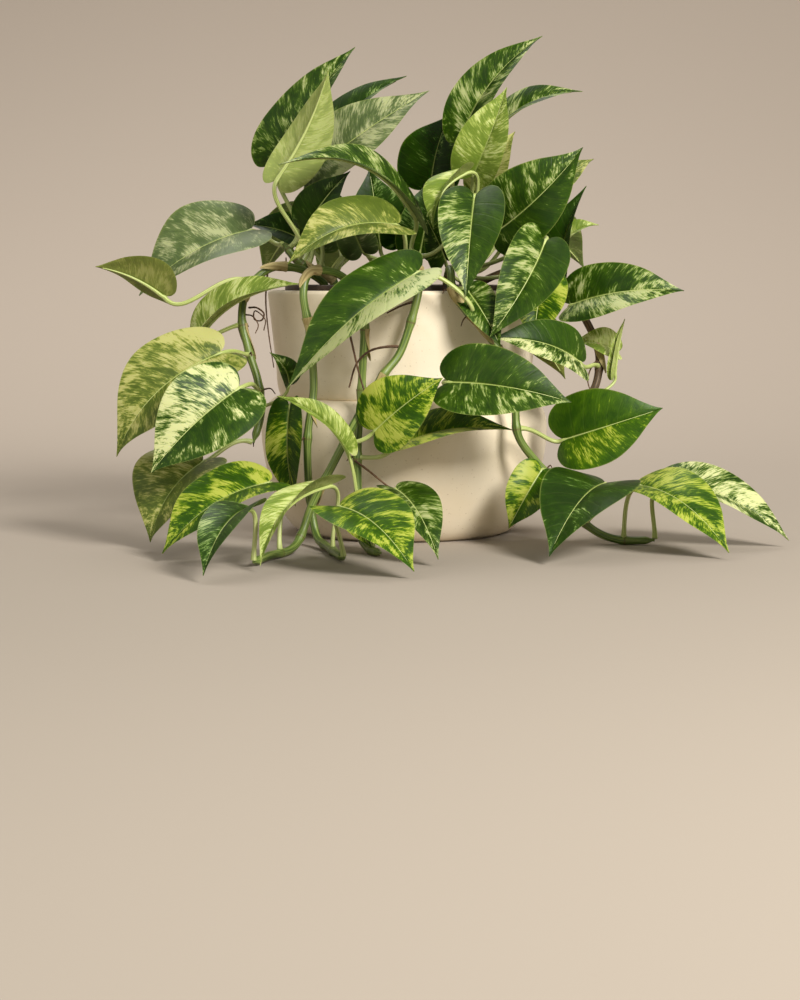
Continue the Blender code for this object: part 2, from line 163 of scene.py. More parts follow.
def leaf_table(rows: list[tuple]) -> dict[str, LeafSpec]:
    """Leaves by name, each from a row of its name and the values of its LeafSpec in their order."""
    return {name: LeafSpec(*values) for name, *values in rows}


LEAVES = leaf_table([
    ("upper_left_1", "crown_left", 0.90, (-95, -12, 271), (-35, -22, 352), (-0.6, -0.7, 0.3),
     50, 0.09, 16, M, 0.32, 0.25, 0.05, 10),
    ("upper_left_2", "crown_left", 0.78, (-89, -44, 258), (-53, -62, 332), (0.5, 0.6, 0.5),
     42, 0.05, 30, PA, 0.5, 0.6, -0.03, 12),
    ("upper_left_3", "crown_left", 0.55, (-66, 12, 278), (2, 6, 334), (-0.2, -0.5, 0.85),
     42, 0.09, 20, DA, 0.2, 0.3, 0.0, 8),
    ("upper_left_4", "crown_left", 0.40, (-68, -22, 262), (18, -34, 320), (0.1, -0.75, 0.65),
     52, 0.09, 14, SHEEN, 0.45, 0.5, 0.04, 6),
    ("upper_left_5", "crown_front", 0.95, (8, -50, 231), (-88, -80, 265), (0.05, -0.4, 0.9),
     46, 0.20, 18, M, 0.22, 0.38, 0.0, -8),
    ("upper_left_6", "crown_front", 0.70, (-6, -82, 224), (-80, -116, 196), (-0.1, -0.7, 0.7),
     50, 0.14, 20, OL, 0.3, 0.25, 0.03, -6),
    ("upper_left_7", "crown_left", 1.00, (-112, -8, 222), (-192, -28, 174), (-0.35, -0.7, 0.65),
     74, 0.13, 18, SHEEN, 0.3, 0.35, -0.03),
    ("upper_left_8", "vine_left", 0.38, (-170, -56, 174), (-218, -64, 195), (-0.2, 0.5, 0.85),
     44, 0.09, 22, OL, 0.3, 0.4),
    ("upper_left_9", "vine_left", 0.54, (-145, -62, 147), (-72, -94, 183), (0.1, -0.6, 0.8),
     40, 0.12, 30, PA, 0.5, 0.35, 0.0, 10),
    ("upper_right_1", "crown_right", 0.80, (20, 34, 255), (34, 28, 308), (-0.4, -0.8, 0.4),
     60, 0.09, 14, DA, 0.08, 0.15),
    ("upper_right_2", "crown_right", 1.00, (42, 0, 290), (100, -10, 361), (-0.5, -0.8, 0.35),
     42, 0.09, 24, M, 0.35, 0.3, -0.04, 10),
    ("upper_right_3", "crown_right", 0.90, (50, -26, 261), (73, -38, 322), (-0.3, -0.9, 0.2),
     42, 0.07, 24, PA, 0.35, 0.5, 0.04, 8),
    ("upper_right_4", "crown_right", 0.95, (62, 8, 290), (130, -4, 322), (0.0, -0.5, 0.85),
     36, 0.14, 18, M, 0.4, 0.35, 0.0, 6),
    ("upper_right_5", "crown_right", 0.60, (66, -46, 220), (125, -70, 278), (-0.1, -0.9, 0.35),
     60, 0.11, 16, M, 0.3, 0.1, 0.08),
    ("upper_right_6", "vine_right_woody", 0.45, (114, 4, 184), (133, -6, 254), (-0.7, -0.6, 0.2),
     34, 0.09, 26, DA, 0.06, 0.2, 0.0, 12),
    ("upper_right_7", "vine_right_woody", 0.55, (119, -48, 168), (197, -72, 178), (0.1, -0.8, 0.6),
     50, 0.12, 18, M, 0.3, 0.52, 0.02),
    ("upper_right_8", "crown_front", 0.90, (49, -76, 244), (42, -120, 174), (-0.1, -0.95, 0.3),
     48, 0.09, 18, M, 0.05, 0.42),
    ("upper_right_9", "crown_right", 0.40, (98, -82, 212), (58, -118, 146), (0.1, -0.9, 0.4),
     46, 0.10, 20, M, 0.10, 0.42, -0.04),
    ("upper_right_10", "crown_right", 0.25, (98, -52, 188), (90, -76, 140), (0.0, -0.9, 0.4),
     40, 0.09, 14, LI, 0.5, 0.45),
    ("upper_right_11", "crown_right", 0.70, (44, -44, 262), (20, -66, 222), (-0.5, -0.3, 0.8),
     30, 0.14, 30, PA, 0.3, 0.4, 0.06, 20),
    ("front_1", "vine_right", 0.27, (9, -125, 191), (-79, -150, 113), (-0.5, -0.7, 0.5),
     56, 0.12, 18, M, 0.85, 0.08, -0.05, -6),
    ("front_2", "vine_center", 0.80, (-38, -138, 70), (-86, -144, 108), (0.2, -0.6, 0.7),
     22, 0.12, 34, PA, 0.4, 0.5, 0.03, 14),
    ("front_3", "vine_front", 0.53, (-20, -132, 84), (26, -140, 120), (0.0, -0.9, 0.4),
     50, 0.09, 16, LI, 0.5, 0.45),
    ("front_4", "vine_center", 0.64, (-10, -122, 70), (74, -128, 84), (0.0, -0.4, 0.9),
     44, 0.10, 16, LI, 0.3, 0.65, 0.0, -8),
    ("front_5", "vine_front_left", 0.45, (-80, -94, 98), (-76, -96, 28), (-0.6, -0.8, 0.1),
     34, 0.08, 16, LI, 0.4, 0.4),
    ("left_1", "vine_left", 0.66, (-128, -98, 135), (-200, -110, 65), (-0.25, -0.85, 0.45),
     64, 0.11, 16, OL, 0.45, 0.55, 0.06, 0, 0.03),
    ("left_2", "vine_left", 0.80, (-113, -126, 112), (-171, -146, 56), (-0.1, -0.95, 0.3),
     62, 0.08, 12, W, 0.2, 0.72, 0.02),
    ("left_3", "vine_left", 1.00, (-140, -98, 60), (-175, -122, 6), (-0.4, -0.6, 0.7),
     70, 0.12, 18, OL, 0.25, 0.35, 0.03),
    ("right_1", "vine_right", 0.37, (30, -136, 117), (112, -152, 104), (0.1, -0.9, 0.45),
     54, 0.09, 14, M, 0.10, 0.30),
    ("right_2", "vine_right_woody", 0.80, (124, -76, 128), (60, -106, 146), (0.05, -0.8, 0.6),
     42, 0.13, 14, W, 0.62, 0.06),
    ("right_3", "vine_right", 0.56, (112, -83, 74), (180, -96, 97), (0.1, -0.9, 0.4),
     58, 0.09, 14, LI, 0.06, 0.16, 0.03),
    ("right_4", "vine_right", 0.68, (95, -104, 54), (72, -112, 14), (-0.1, -0.95, 0.3),
     34, 0.10, 22, LI, 0.12, 0.6),
    ("lower_right_1", "vine_right", 0.83, (138, -120, 47), (94, -200, 6), (-0.1, -0.5, 0.85),
     62, 0.12, 14, DA, 0.12, 0.1),
    ("lower_right_2", "vine_right", 0.93, (163, -103, 44), (216, -172, 5), (0.1, -0.5, 0.85),
     54, 0.12, 14, LI, 0.5, 0.5),
    ("lower_right_3", "vine_right", 1.00, (184, -76, 42), (268, -104, 5), (0.3, -0.5, 0.8),
     50, 0.12, 16, W, 0.62, 0.55),
    ("lower_left_1", "vine_front", 0.85, (-92, -150, 50), (-160, -184, 6), (-0.3, -0.5, 0.8),
     60, 0.12, 14, LI, 0.4, 0.45),
    ("lower_left_2", "vine_center", 0.93, (-6, -150, 46), (22, -206, 5), (0.2, -0.6, 0.75),
     36, 0.12, 18, M, 0.3, 0.35),
    ("lower_left_3", "vine_front_left", 0.88, (-50, -166, 50), (-92, -236, 5), (-0.5, -0.5, 0.7),
     30, 0.12, 30, PA, 0.5, 0.6, 0.04, 14),
    ("lower_left_4", "vine_front_left", 1.00, (-42, -206, 40), (6, -264, 5), (0.1, -0.5, 0.85),
     58, 0.12, 14, LI, 0.45, 0.35),
    ("lower_left_5", "vine_front", 1.00, (-100, -218, 40), (-124, -282, 5), (-0.3, -0.5, 0.8),
     36, 0.12, 22, DA, 0.15, 0.3),
    ("back_1", "crown_left", 0.63, (-62, 66, 236), (-112, 122, 188), (-0.4, 0.6, 0.7),
     56, 0.12, 16, M, 0.3, 0.4),
    ("back_2", "crown_right", 0.70, (18, 84, 244), (28, 150, 206), (0.0, 0.6, 0.8),
     54, 0.12, 16, DA, 0.15, 0.1),
    ("back_3", "crown_right", 0.50, (86, 60, 228), (142, 108, 194), (0.4, 0.6, 0.7),
     54, 0.12, 16, M, 0.5, 0.25),
    ("back_4", "vine_back", 0.50, (-50, 126, 152), (-74, 172, 88), (-0.3, 0.9, 0.4),
     56, 0.09, 16, LI, 0.4, 0.5),
    ("back_5", "vine_back", 0.65, (40, 136, 122), (58, 174, 58), (0.3, 0.9, 0.4),
     54, 0.09, 16, M, 0.25, 0.5),
    ("back_6", "vine_back", 0.35, (80, 104, 160), (130, 138, 106), (0.4, 0.8, 0.5),
     50, 0.09, 16, OL, 0.4, 0.4),
    ("back_7", "vine_back", 1.00, (50, 192, 38), (88, 246, 6), (0.2, 0.4, 0.9),
     50, 0.12, 16, M, 0.35, 0.3),
])

# Leaves that the record calls pale though their looks are of another family.
PALE_SOLIDS = {"upper_left_6", "lower_right_3"}

# Small leaves that fill the crown and the vines, too slight for solids of their own.
SMALL_LEAVES = leaf_table([
    ("fill_left_1", "crown_left", 0.30, (-74, 14, 214), (-116, 8, 226), (-0.2, -0.7, 0.7),
     32, 0.10, 20, DA, 0.15, 0.3),
    ("fill_left_2", "crown_left", 0.20, (-46, 22, 214), (-66, 18, 262), (-0.3, -0.9, 0.2),
     42, 0.10, 18, SHEEN, 0.3, 0.2),
    ("fill_left_3", "crown_left", 0.72, (-70, -34, 222), (-38, -58, 262), (-0.3, -0.9, 0.2),
     34, 0.10, 20, DA, 0.1, 0.25),
    ("fill_centre_1", "crown_front", 0.30, (-18, 30, 212), (-26, 26, 268), (0.1, -0.95, 0.2),
     46, 0.08, 16, DA, 0.1, 0.2),
    ("fill_centre_2", "crown_front", 0.45, (-30, -26, 206), (-46, -44, 246), (-0.2, -0.9, 0.3),
     30, 0.10, 20, SHEEN, 0.2, 0.3),
    ("fill_centre_3", "crown_front", 0.20, (12, 18, 206), (22, 12, 262), (0.1, -0.95, 0.2),
     44, 0.08, 18, DA, 0.1, 0.1),
    ("fill_centre_4", "crown_right", 0.15, (30, -18, 200), (14, -44, 232), (-0.1, -0.9, 0.4),
     30, 0.10, 20, M, 0.3, 0.3),
    ("fill_right_1", "crown_right", 0.55, (56, -12, 248), (80, -22, 292), (-0.3, -0.9, 0.3),
     34, 0.10, 20, OL, 0.8, 0.7),
    ("fill_right_2", "crown_right", 0.30, (72, -8, 210), (101, -16, 238), (0.1, -0.9, 0.4),
     34, 0.10, 20, M, 0.35, 0.45),
    ("fill_right_3", "crown_right", 0.85, (96, 26, 238), (141, 24, 275), (0.1, -0.7, 0.7),
     34, 0.10, 20, OL, 0.5, 0.6),
    ("fill_right_4", "vine_right_woody", 0.30, (118, 14, 212), (144, 10, 226), (0.1, -0.6, 0.8),
     18, 0.20, 30, PA, 0.6, 0.6),
    ("fill_right_5", "vine_right_woody", 0.70, (154, -34, 134), (122, -40, 142), (0.0, -0.8, 0.6),
     26, 0.12, 24, PA, 0.5, 0.6),
    ("fill_right_6", "vine_right", 0.20, (44, -100, 178), (66, -112, 140), (0.1, -0.9, 0.4),
     28, 0.10, 20, M, 0.4, 0.3),
    ("spike_right", "vine_right_woody", 0.95, (150, -52, 118), (157, -54, 158), (-0.8, -0.6, 0.1),
     12, 0.03, 66, PA, 0.7, 0.6),
    ("curl_left", "vine_left", 0.86, (-80, -98, 114), (-93, -104, 136), (0.4, -0.8, 0.3),
     20, 0.24, 34, M, 0.3, 0.3),
    ("fill_low_1", "vine_center", 0.86, (-40, -132, 22), (-22, -146, 5), (0.1, -0.8, 0.5),
     18, 0.12, 30, LI, 0.4, 0.4),
    ("fill_back_1", "vine_back", 0.18, (-36, 96, 212), (-66, 140, 180), (-0.3, 0.7, 0.6),
     44, 0.12, 18, M, 0.4, 0.2),
    ("fill_back_2", "crown_front", 0.10, (10, 40, 222), (16, 84, 232), (0.0, 0.3, 0.95),
     42, 0.14, 18, LI, 0.3, 0.4),
    ("fill_back_3", "crown_left", 0.15, (-52, 40, 218), (-92, 74, 226), (-0.3, 0.5, 0.8),
     40, 0.14, 18, DA, 0.2, 0.2),
    ("fill_back_4", "crown_right", 0.35, (70, 40, 214), (112, 60, 226), (0.3, 0.3, 0.9),
     40, 0.14, 18, M, 0.3, 0.4),
])

# Thin roots that leave the stems, millimetres: points and thickness.
ROOTS: dict[str, tuple[list[Point], float]] = {
    "root_long": ([(-38, -108, 150), (-36, -116, 143), (-31, -119, 122), (-25, -121, 102),
                   (-21, -124, 84)], 1.5),
    "root_arc": ([(0, -112, 140), (-12, -114, 140), (-24, -115, 137), (-33, -114, 128),
                  (-38, -113, 112)], 1.9),
    "root_stub": ([(7, -108, 171), (-2, -112, 168), (-12, -114, 163)], 1.7),
    "root_thin_left": ([(-97, -56, 190), (-98, -62, 172), (-96, -68, 150), (-92, -72, 124)], 1.2),
    "root_curl_1": ([(-110, -62, 166), (-104, -68, 166), (-99, -68, 162), (-101, -65, 157), (-106, -66, 158),
                     (-105, -70, 164), (-98, -71, 158), (-99, -70, 150)], 1.3),
    "root_curl_2": ([(-112, -62, 161), (-107, -67, 160), (-103, -69, 154), (-105, -70, 148)], 1.1),
    "root_right": ([(139, -42, 128), (134, -52, 124), (131, -55, 114), (134, -57, 104)], 1.3),
    "root_low": ([(-34, -116, 62), (-24, -122, 55), (-14, -124, 47), (-4, -122, 40)], 1.6),
    "root_left_low": ([(-102, -80, 96), (-112, -88, 90), (-124, -92, 84), (-132, -96, 78)], 1.8),
}


# Shapes


def circle(count: int, backwards: bool = False) -> Array:
    """Angles of evenly spaced points once round, from zero on, or from a full turn down."""
    ends = (FULL_TURN, 0) if backwards else (0, FULL_TURN)
    return np.linspace(*ends, count, endpoint=False)


def lengths_along(path: Array) -> Array:
    """Distance along a path of each of its points."""
    return np.concatenate([[0], np.cumsum(np.linalg.norm(np.diff(path, axis=0), axis=1))])


def bell(distance: Array, width: float) -> Array:
    """A bell curve: e to the power of minus the square of distance over width."""
    return np.exp(-((distance / width) ** 2))


def on_axis(level: float) -> Array:
    """The point of the Z axis at a level."""
    return np.array([0, 0, level])


def unit(vectors: Array) -> Array:
    """Vectors divided by their own lengths."""
    return vectors / np.maximum(np.linalg.norm(vectors, axis=-1, keepdims=True), 1e-12)


def catmull_rom(points: Array, count: int) -> Array:
    """A smooth curve: a uniform Catmull-Rom spline through the points, its ends mirrored.

    Args:
        points: The points that it passes, one a row.
        count: How many places to read, evenly spaced in the spline's parameter.

    Returns:
        The places, one a row.
    """
    points = np.asarray(points, float)
    ends = np.vstack([2 * points[0] - points[1], points, 2 * points[-1] - points[-2]])
    place = np.linspace(0, len(points) - 1, count)
    start = np.minimum(place.astype(int), len(points) - 2)
    t = (place - start)[:, None]
    a, b, c, d = (ends[start + k] for k in range(4))
    return 0.5 * (2 * b + (c - a) * t + (2 * a - 5 * b + 4 * c - d) * t**2 + (3 * b - a - 3 * c + d) * t**3)


def evenly_along(path: Array, count: int) -> Array:
    """The path again with its points evenly spaced by length: linear interpolation over summed lengths."""
    length = lengths_along(path)
    wanted = np.linspace(0, length[-1], count)
    return np.stack([np.interp(wanted, length, axis) for axis in path.T], axis=1)


def point_along(path: Array, share: float) -> tuple[Array, Array]:
    """Point and direction at a share of the length of an evenly spaced path."""
    place = share * (len(path) - 1)
    start = min(int(place), len(path) - 2)
    way = path[start + 1] - path[start]
    return path[start] + way * (place - start), unit(way)


def frames_along(path: Array, first_side: Array) -> tuple[Array, Array]:
    """Two ways across a path at each point, which turn as little as they can.

    Each side is the one before it with the part along the new direction taken out, set to length one.

    Args:
        path: Points along the path.
        first_side: The way across that the first point starts from.

    Returns:
        The sides and the ups, one a row.
    """
    ways = unit(np.gradient(path, axis=0))
    sides = np.empty_like(path)
    side = np.asarray(first_side, float)
    for i, way in enumerate(ways):
        side = unit(side - way * side.dot(way))
        sides[i] = side
    return sides, np.cross(sides, ways)


@dataclass
class Shell:
    """A surface in the making.

    Attributes:
        points: Places of the vertices, one a row.
        faces: Vertex numbers, four a row; a triangle repeats its last one.
        uv: The place on the map of each face's corners.
        slot: Material slot of each face.
        margin: A number of each vertex that finishes may read, 0 to 1.
    """

    points: Array
    faces: Array
    uv: Array
    slot: Array
    margin: Array


def joined(shells: list[Shell]) -> Shell:
    """Many surfaces as one."""
    starts = np.cumsum([0, *(len(shell.points) for shell in shells[:-1])])
    return Shell(
        np.vstack([shell.points for shell in shells]),
        np.vstack([shell.faces + start for shell, start in zip(shells, starts)]),
        *(np.concatenate([getattr(shell, name) for shell in shells]) for name in ("uv", "slot", "margin")),
    )


def turns(count: int) -> Array:
    """Map coordinates of a ring's faces, each from its first to its second side, running once from 0 to 1."""
    return np.stack([np.arange(count), np.arange(1, count + 1)], axis=1) / count


def rings_shell(
    rings: Array,
    along: Array,
    around: Array,
    ends: tuple[Array, Array],
    slot: int = 0,
    margin: Array | None = None,
) -> Shell:
    """A closed surface through a row of rings, with each end drawn together to one point.

    The corners of face k between rings i and i + 1 have the map places (along i or i + 1, around k).

    Args:
        rings: Ring points, shaped (rings, points a ring, 3), turning so that faces look out.
        along: First map coordinate of each ring.
        around: Second map coordinate of each face's first and second side, as rows.
        ends: The points that close the start and the end.
        slot: Material slot of its faces.
        margin: A number of each ring point, or None for zeros.

    Returns:
        The surface.
    """
    count, size = rings.shape[:2]
    numbers = np.arange(count * size).reshape(count, size)
    turned = np.roll(numbers, -1, axis=1)
    walls = np.stack([numbers[:-1], turned[:-1], turned[1:], numbers[1:]], axis=-1).reshape(-1, 4)
    first, last = np.full(size, count * size), np.full(size, count * size + 1)
    start = np.stack([first, turned[0], numbers[0], numbers[0]], axis=-1)
    end = np.stack([last, numbers[-1], turned[-1], turned[-1]], axis=-1)

    def places(before: Array, after: Array, sides: tuple[int, int, int, int]) -> Array:
        """Map places of a band of faces: along from before to after, around by each corner's side."""
        u = np.stack([before, before, after, after], axis=-1)
        v = np.stack([around[:, k] for k in sides], axis=-1)
        return np.stack([*np.broadcast_arrays(u, v)], axis=-1).reshape(-1, 4, 2)

    values = np.zeros((count, size)) if margin is None else margin
    faces = np.vstack([walls, start, end])
    uv = np.vstack([
        places(along[:-1, None], along[1:, None], (0, 1, 1, 0)),
        places(along[:1], along[:1], (0, 1, 0, 0)),
        places(along[-1:], along[-1:], (0, 0, 1, 1)),
    ])
    return Shell(
        np.vstack([rings.reshape(-1, 3), *ends]),
        faces,
        uv,
        np.full(len(faces), slot),
        np.concatenate([values.ravel(), [values[0].max(), values[-1].max()]]),
    )


def tube_shell(path: Array, radii: Array, sides: int, side: Array, slot: int = 0) -> Shell:
    """A tube: round sections of the given radii set square to the path, its map in metres and turns.

    Args:
        path: Centre line.
        radii: Radius at each point.
        sides: Points of a section.
        side: A way across the path's start.
        slot: Material slot.

    Returns:
        The closed tube.
    """
    sideways, up = (ways[:, None] for ways in frames_along(path, side))
    angle = circle(sides)[None, :, None]
    rings = path[:, None] + radii[:, None, None] * (sideways * np.cos(angle) - up * np.sin(angle))
    return rings_shell(rings, lengths_along(path), turns(sides), (path[0], path[-1]), slot)


def turned_shell(profile: Array, segments: int = TURN_SEGMENTS) -> Shell:
    """A shape turned about Z: each point of a (radius, level) profile goes round as a circle.

    The profile runs up the inside and down the outside, and both of its ends lie on the axis.
    """
    angle = circle(segments, backwards=True)
    inner = profile[1:-1]
    radius, level = inner[:, :1], np.repeat(inner[:, 1:], segments, axis=1)
    rings = np.stack([radius * np.cos(angle), radius * np.sin(angle), level], axis=-1)
    ends = (on_axis(profile[0, 1]), on_axis(profile[-1, 1]))
    return rings_shell(rings, lengths_along(inner), turns(segments), ends)


def round_corners(profile: Array, radius: float, spans: int = 4) -> Array:
    """A (radius, level) profile whose inner corners are cut by short quadratic curves of about this size."""
    points = [profile[:1]]
    share = np.linspace(0, 1, spans + 1)[:, None]
    for before, corner, after in zip(profile, profile[1:], profile[2:]):
        back, on = before - corner, after - corner
        start = corner + back * min(0.45, radius / max(np.linalg.norm(back), 1e-9))
        end = corner + on * min(0.45, radius / max(np.linalg.norm(on), 1e-9))
        points.append(start * (1 - share) ** 2 + corner * 2 * share * (1 - share) + end * share**2)
    points.append(profile[-1:])
    return np.vstack(points)


def add_piece(
    name: str,
    shell: Shell,
    materials: list[bpy.types.Material],
    nodes: tuple[str, ...] = (),
    sharp_degrees: float = 60,
) -> None:
    """Makes a piece of the object from a surface, and ties it to the frame.

    Args:
        name: Name of the piece.
        shell: Its surface.
        materials: Its finishes, one for each material slot of the surface.
        nodes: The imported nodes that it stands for.
        sharp_degrees: Edges sharper than this stay sharp.
    """
    mesh = bpy.data.meshes.new(name)
    three = shell.faces[:, 2] == shell.faces[:, 3]
    faces = [face[:3] if short else face for face, short in zip(shell.faces.tolist(), three)]
    mesh.from_pydata(shell.points.tolist(), [], faces)
    keep = np.ones((len(shell.faces), 4), bool)
    keep[three, 3] = False
    layer = mesh.uv_layers.new(name="surface")
    layer.uv.foreach_set("vector", shell.uv[keep].astype(np.float32).ravel())
    mesh.polygons.foreach_set("material_index", shell.slot.astype(np.int32))
    margin = mesh.attributes.new("margin", "FLOAT", "POINT")
    margin.data.foreach_set("value", shell.margin.astype(np.float32))
    for material in materials:
        mesh.materials.append(material)
    mesh.shade_smooth()
    mesh.set_sharp_from_angle(angle=math.radians(sharp_degrees))
    mesh.validate()
    piece = bpy.data.objects.new(name, mesh)
    bpy.context.scene.collection.objects.link(piece)
    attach(piece, "root")
    if nodes:
        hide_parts(*nodes)
    LOG.info("%s: %d faces", name, len(mesh.polygons))


# Finishes


def srgb(code: str) -> Colour:
    """Linear colour of a hex code: each channel's display value undone by the standard curve."""
    channels = np.array([int(code[i : i + 2], 16) for i in (1, 3, 5)]) / 255
    linear = np.where(channels <= 0.04045, channels / 12.92, ((channels + 0.055) / 1.055) ** 2.4)
    return tuple(float(value) for value in linear)


def operator(operation: str, reflected: bool = False) -> Callable[["Socket", "Value"], "Socket"]:
    """A Python operator of Socket that adds a Math node, with its operands the other way when reflected."""

    def apply(own: "Socket", other: "Value") -> "Socket":
        """The Math node's output."""
        return own.math_node(operation, *((other, own) if reflected else (own, other)))

    return apply


class Socket:
    """One output of a shader node. Python's operators on it add Math nodes; a comparison gives 1 or 0."""

    def __init__(self, shader: "Shader", source: bpy.types.NodeSocket) -> None:
        """Wraps an output of one of the shader's nodes."""
        self.shader, self.source = shader, source

    def math_node(self, operation: str, *values: "Value") -> "Socket":
        """A Math node of this operation on the values."""
        return self.shader.node("ShaderNodeMath", dict(enumerate(values)), operation=operation)

    __add__, __radd__ = operator("ADD"), operator("ADD", True)
    __sub__, __rsub__ = operator("SUBTRACT"), operator("SUBTRACT", True)
    __mul__, __truediv__ = operator("MULTIPLY"), operator("DIVIDE")
    __gt__ = operator("GREATER_THAN")

    def distance(self) -> "Socket":
        """Value without its sign."""
        return self.math_node("ABSOLUTE", self)

    def fraction(self) -> "Socket":
        """Part after the decimal point."""
        return self.math_node("FRACT", self)

    def sine(self) -> "Socket":
        """Sine."""
        return self.math_node("SINE", self)


Value = Socket | float | int | tuple


class Shader:
    """A material in the making: its node tree and one Principled surface."""

    def __init__(self, name: str) -> None:
        """Starts a material of this name."""
        self.material = bpy.data.materials.new(name)
        self.material.use_nodes = True
        self.tree = self.material.node_tree
        self.surface = self.tree.nodes["Principled BSDF"]

    def node(
        self, kind: str, values: dict | None = None, output: int | str = 0, **settings: object
    ) -> Socket:
        """Adds any node.

        Args:
            kind: The node's type.
            values: Value or link of its input sockets, by number or name.
            output: The output to return.
            **settings: Its settings, which are set before its sockets.

        Returns:
            The asked output.
        """
        node = self.tree.nodes.new(kind)
        for name, value in settings.items():
            setattr(node, name, value)
        for name, value in (values or {}).items():
            self.put(node.inputs[name], value)
        return Socket(self, node.outputs[output])

    def put(self, socket: bpy.types.NodeSocket, value: Value) -> None:
        """Links a socket, or sets its value."""
        if isinstance(value, Socket):
            self.tree.links.new(value.source, socket)
        elif isinstance(value, tuple) and len(socket.default_value) == 4:
            socket.default_value = (*value, 1)
        else:
            socket.default_value = value

    def place(self) -> Socket:
        """Place in the object's own coordinates, metres."""
        return self.node("ShaderNodeTexCoord", output="Object")

    def surface_map(self) -> tuple[Socket, Socket, Socket]:
        """Place on the piece's own map: along, around or across, and nothing."""
        return self.parts(self.node("ShaderNodeUVMap", uv_map="surface"))

    def margin(self) -> Socket:
        """The number that the shape's maker gave this point, 0 to 1."""
        return self.node("ShaderNodeAttribute", output="Fac", attribute_name="margin")

    def vector(self, x: Value, y: Value, z: Value) -> Socket:
        """A vector of three values."""
        return self.node("ShaderNodeCombineXYZ", {0: x, 1: y, 2: z})

    def parts(self, vector: Socket) -> tuple[Socket, Socket, Socket]:
        """The three values of a vector."""
        first = self.node("ShaderNodeSeparateXYZ", {0: vector})
        outputs = first.source.node.outputs
        return first, Socket(self, outputs[1]), Socket(self, outputs[2])

    def noise(self, where: Socket, scale: float, detail: float, rough: float, swirl: float = 0) -> Socket:
        """Fractal noise, about 0.5."""
        return self.node(
            "ShaderNodeTexNoise",
            {"Vector": where, "Scale": scale, "Detail": detail, "Roughness": rough, "Distortion": swirl},
        )

    def step(self, value: Socket, low: Value, high: Value) -> Socket:
        """A smooth step from 0 at low to 1 at high."""
        return self.node(
            "ShaderNodeMapRange", {"Value": value, "From Min": low, "From Max": high},
            interpolation_type="SMOOTHSTEP",
        )

    def mix(self, share: Value, first: Value, second: Value) -> Socket:
        """A colour between two."""
        return self.node("ShaderNodeMix", {0: share, 6: first, 7: second}, output=2, data_type="RGBA")

    def bump(self, height: Socket, strength: float, distance: float) -> Socket:
        """A normal that this height bends."""
        return self.node("ShaderNodeBump", {"Height": height, "Strength": strength, "Distance": distance})

    def finish(self, **sockets: Value) -> bpy.types.Material:
        """Sets the surface's sockets, their names written with underscores, and returns the material."""
        for name, value in sockets.items():
            self.put(self.surface.inputs[name.replace("_", " ")], value)
        return self.material


@dataclass(frozen=True)
class Palette:
    """Colours of a leaf.

    Attributes:
        ground: Its darkest green.
        green: The green beside streaks.
        pale: The streaks.
        cream: The middle of broad streaks.
        under: What the underside's colours are mixed with.
    """

    ground: Colour
    green: Colour
    pale: Colour
    cream: Colour
    under: Colour


def palette(*codes: str) -> Palette:
    """A palette from five hex codes."""
    return Palette(*(srgb(code) for code in codes))


PALETTES = {
    Tone.MARBLED: palette("#1a3200", "#385404", "#728540", "#a7ae76", "#7f8c54"),
    Tone.WHITE: palette("#193300", "#385504", "#80904f", "#c6ca90", "#8a975e"),
    Tone.LIME: palette("#234200", "#456602", "#7f9222", "#a6ae48", "#7f8f36"),
    Tone.OLIVE: palette("#47571a", "#66742b", "#8b9045", "#acac68", "#777b3e"),
    Tone.PALE: palette("#647a28", "#778a35", "#96a54e", "#bcc67e", "#9ca762"),
    # The grey-green palette paints a sheen into the colour of the leaves that get it.
    Tone.PAINTED_SHEEN_GREY: palette("#46562e", "#5e6d3f", "#7d855b", "#9fa577", "#656e46"),
    Tone.DARK: palette("#172e00", "#294502", "#5d7836", "#91a165", "#586b33"),
}
MIDRIB = srgb("#8b9b4a")


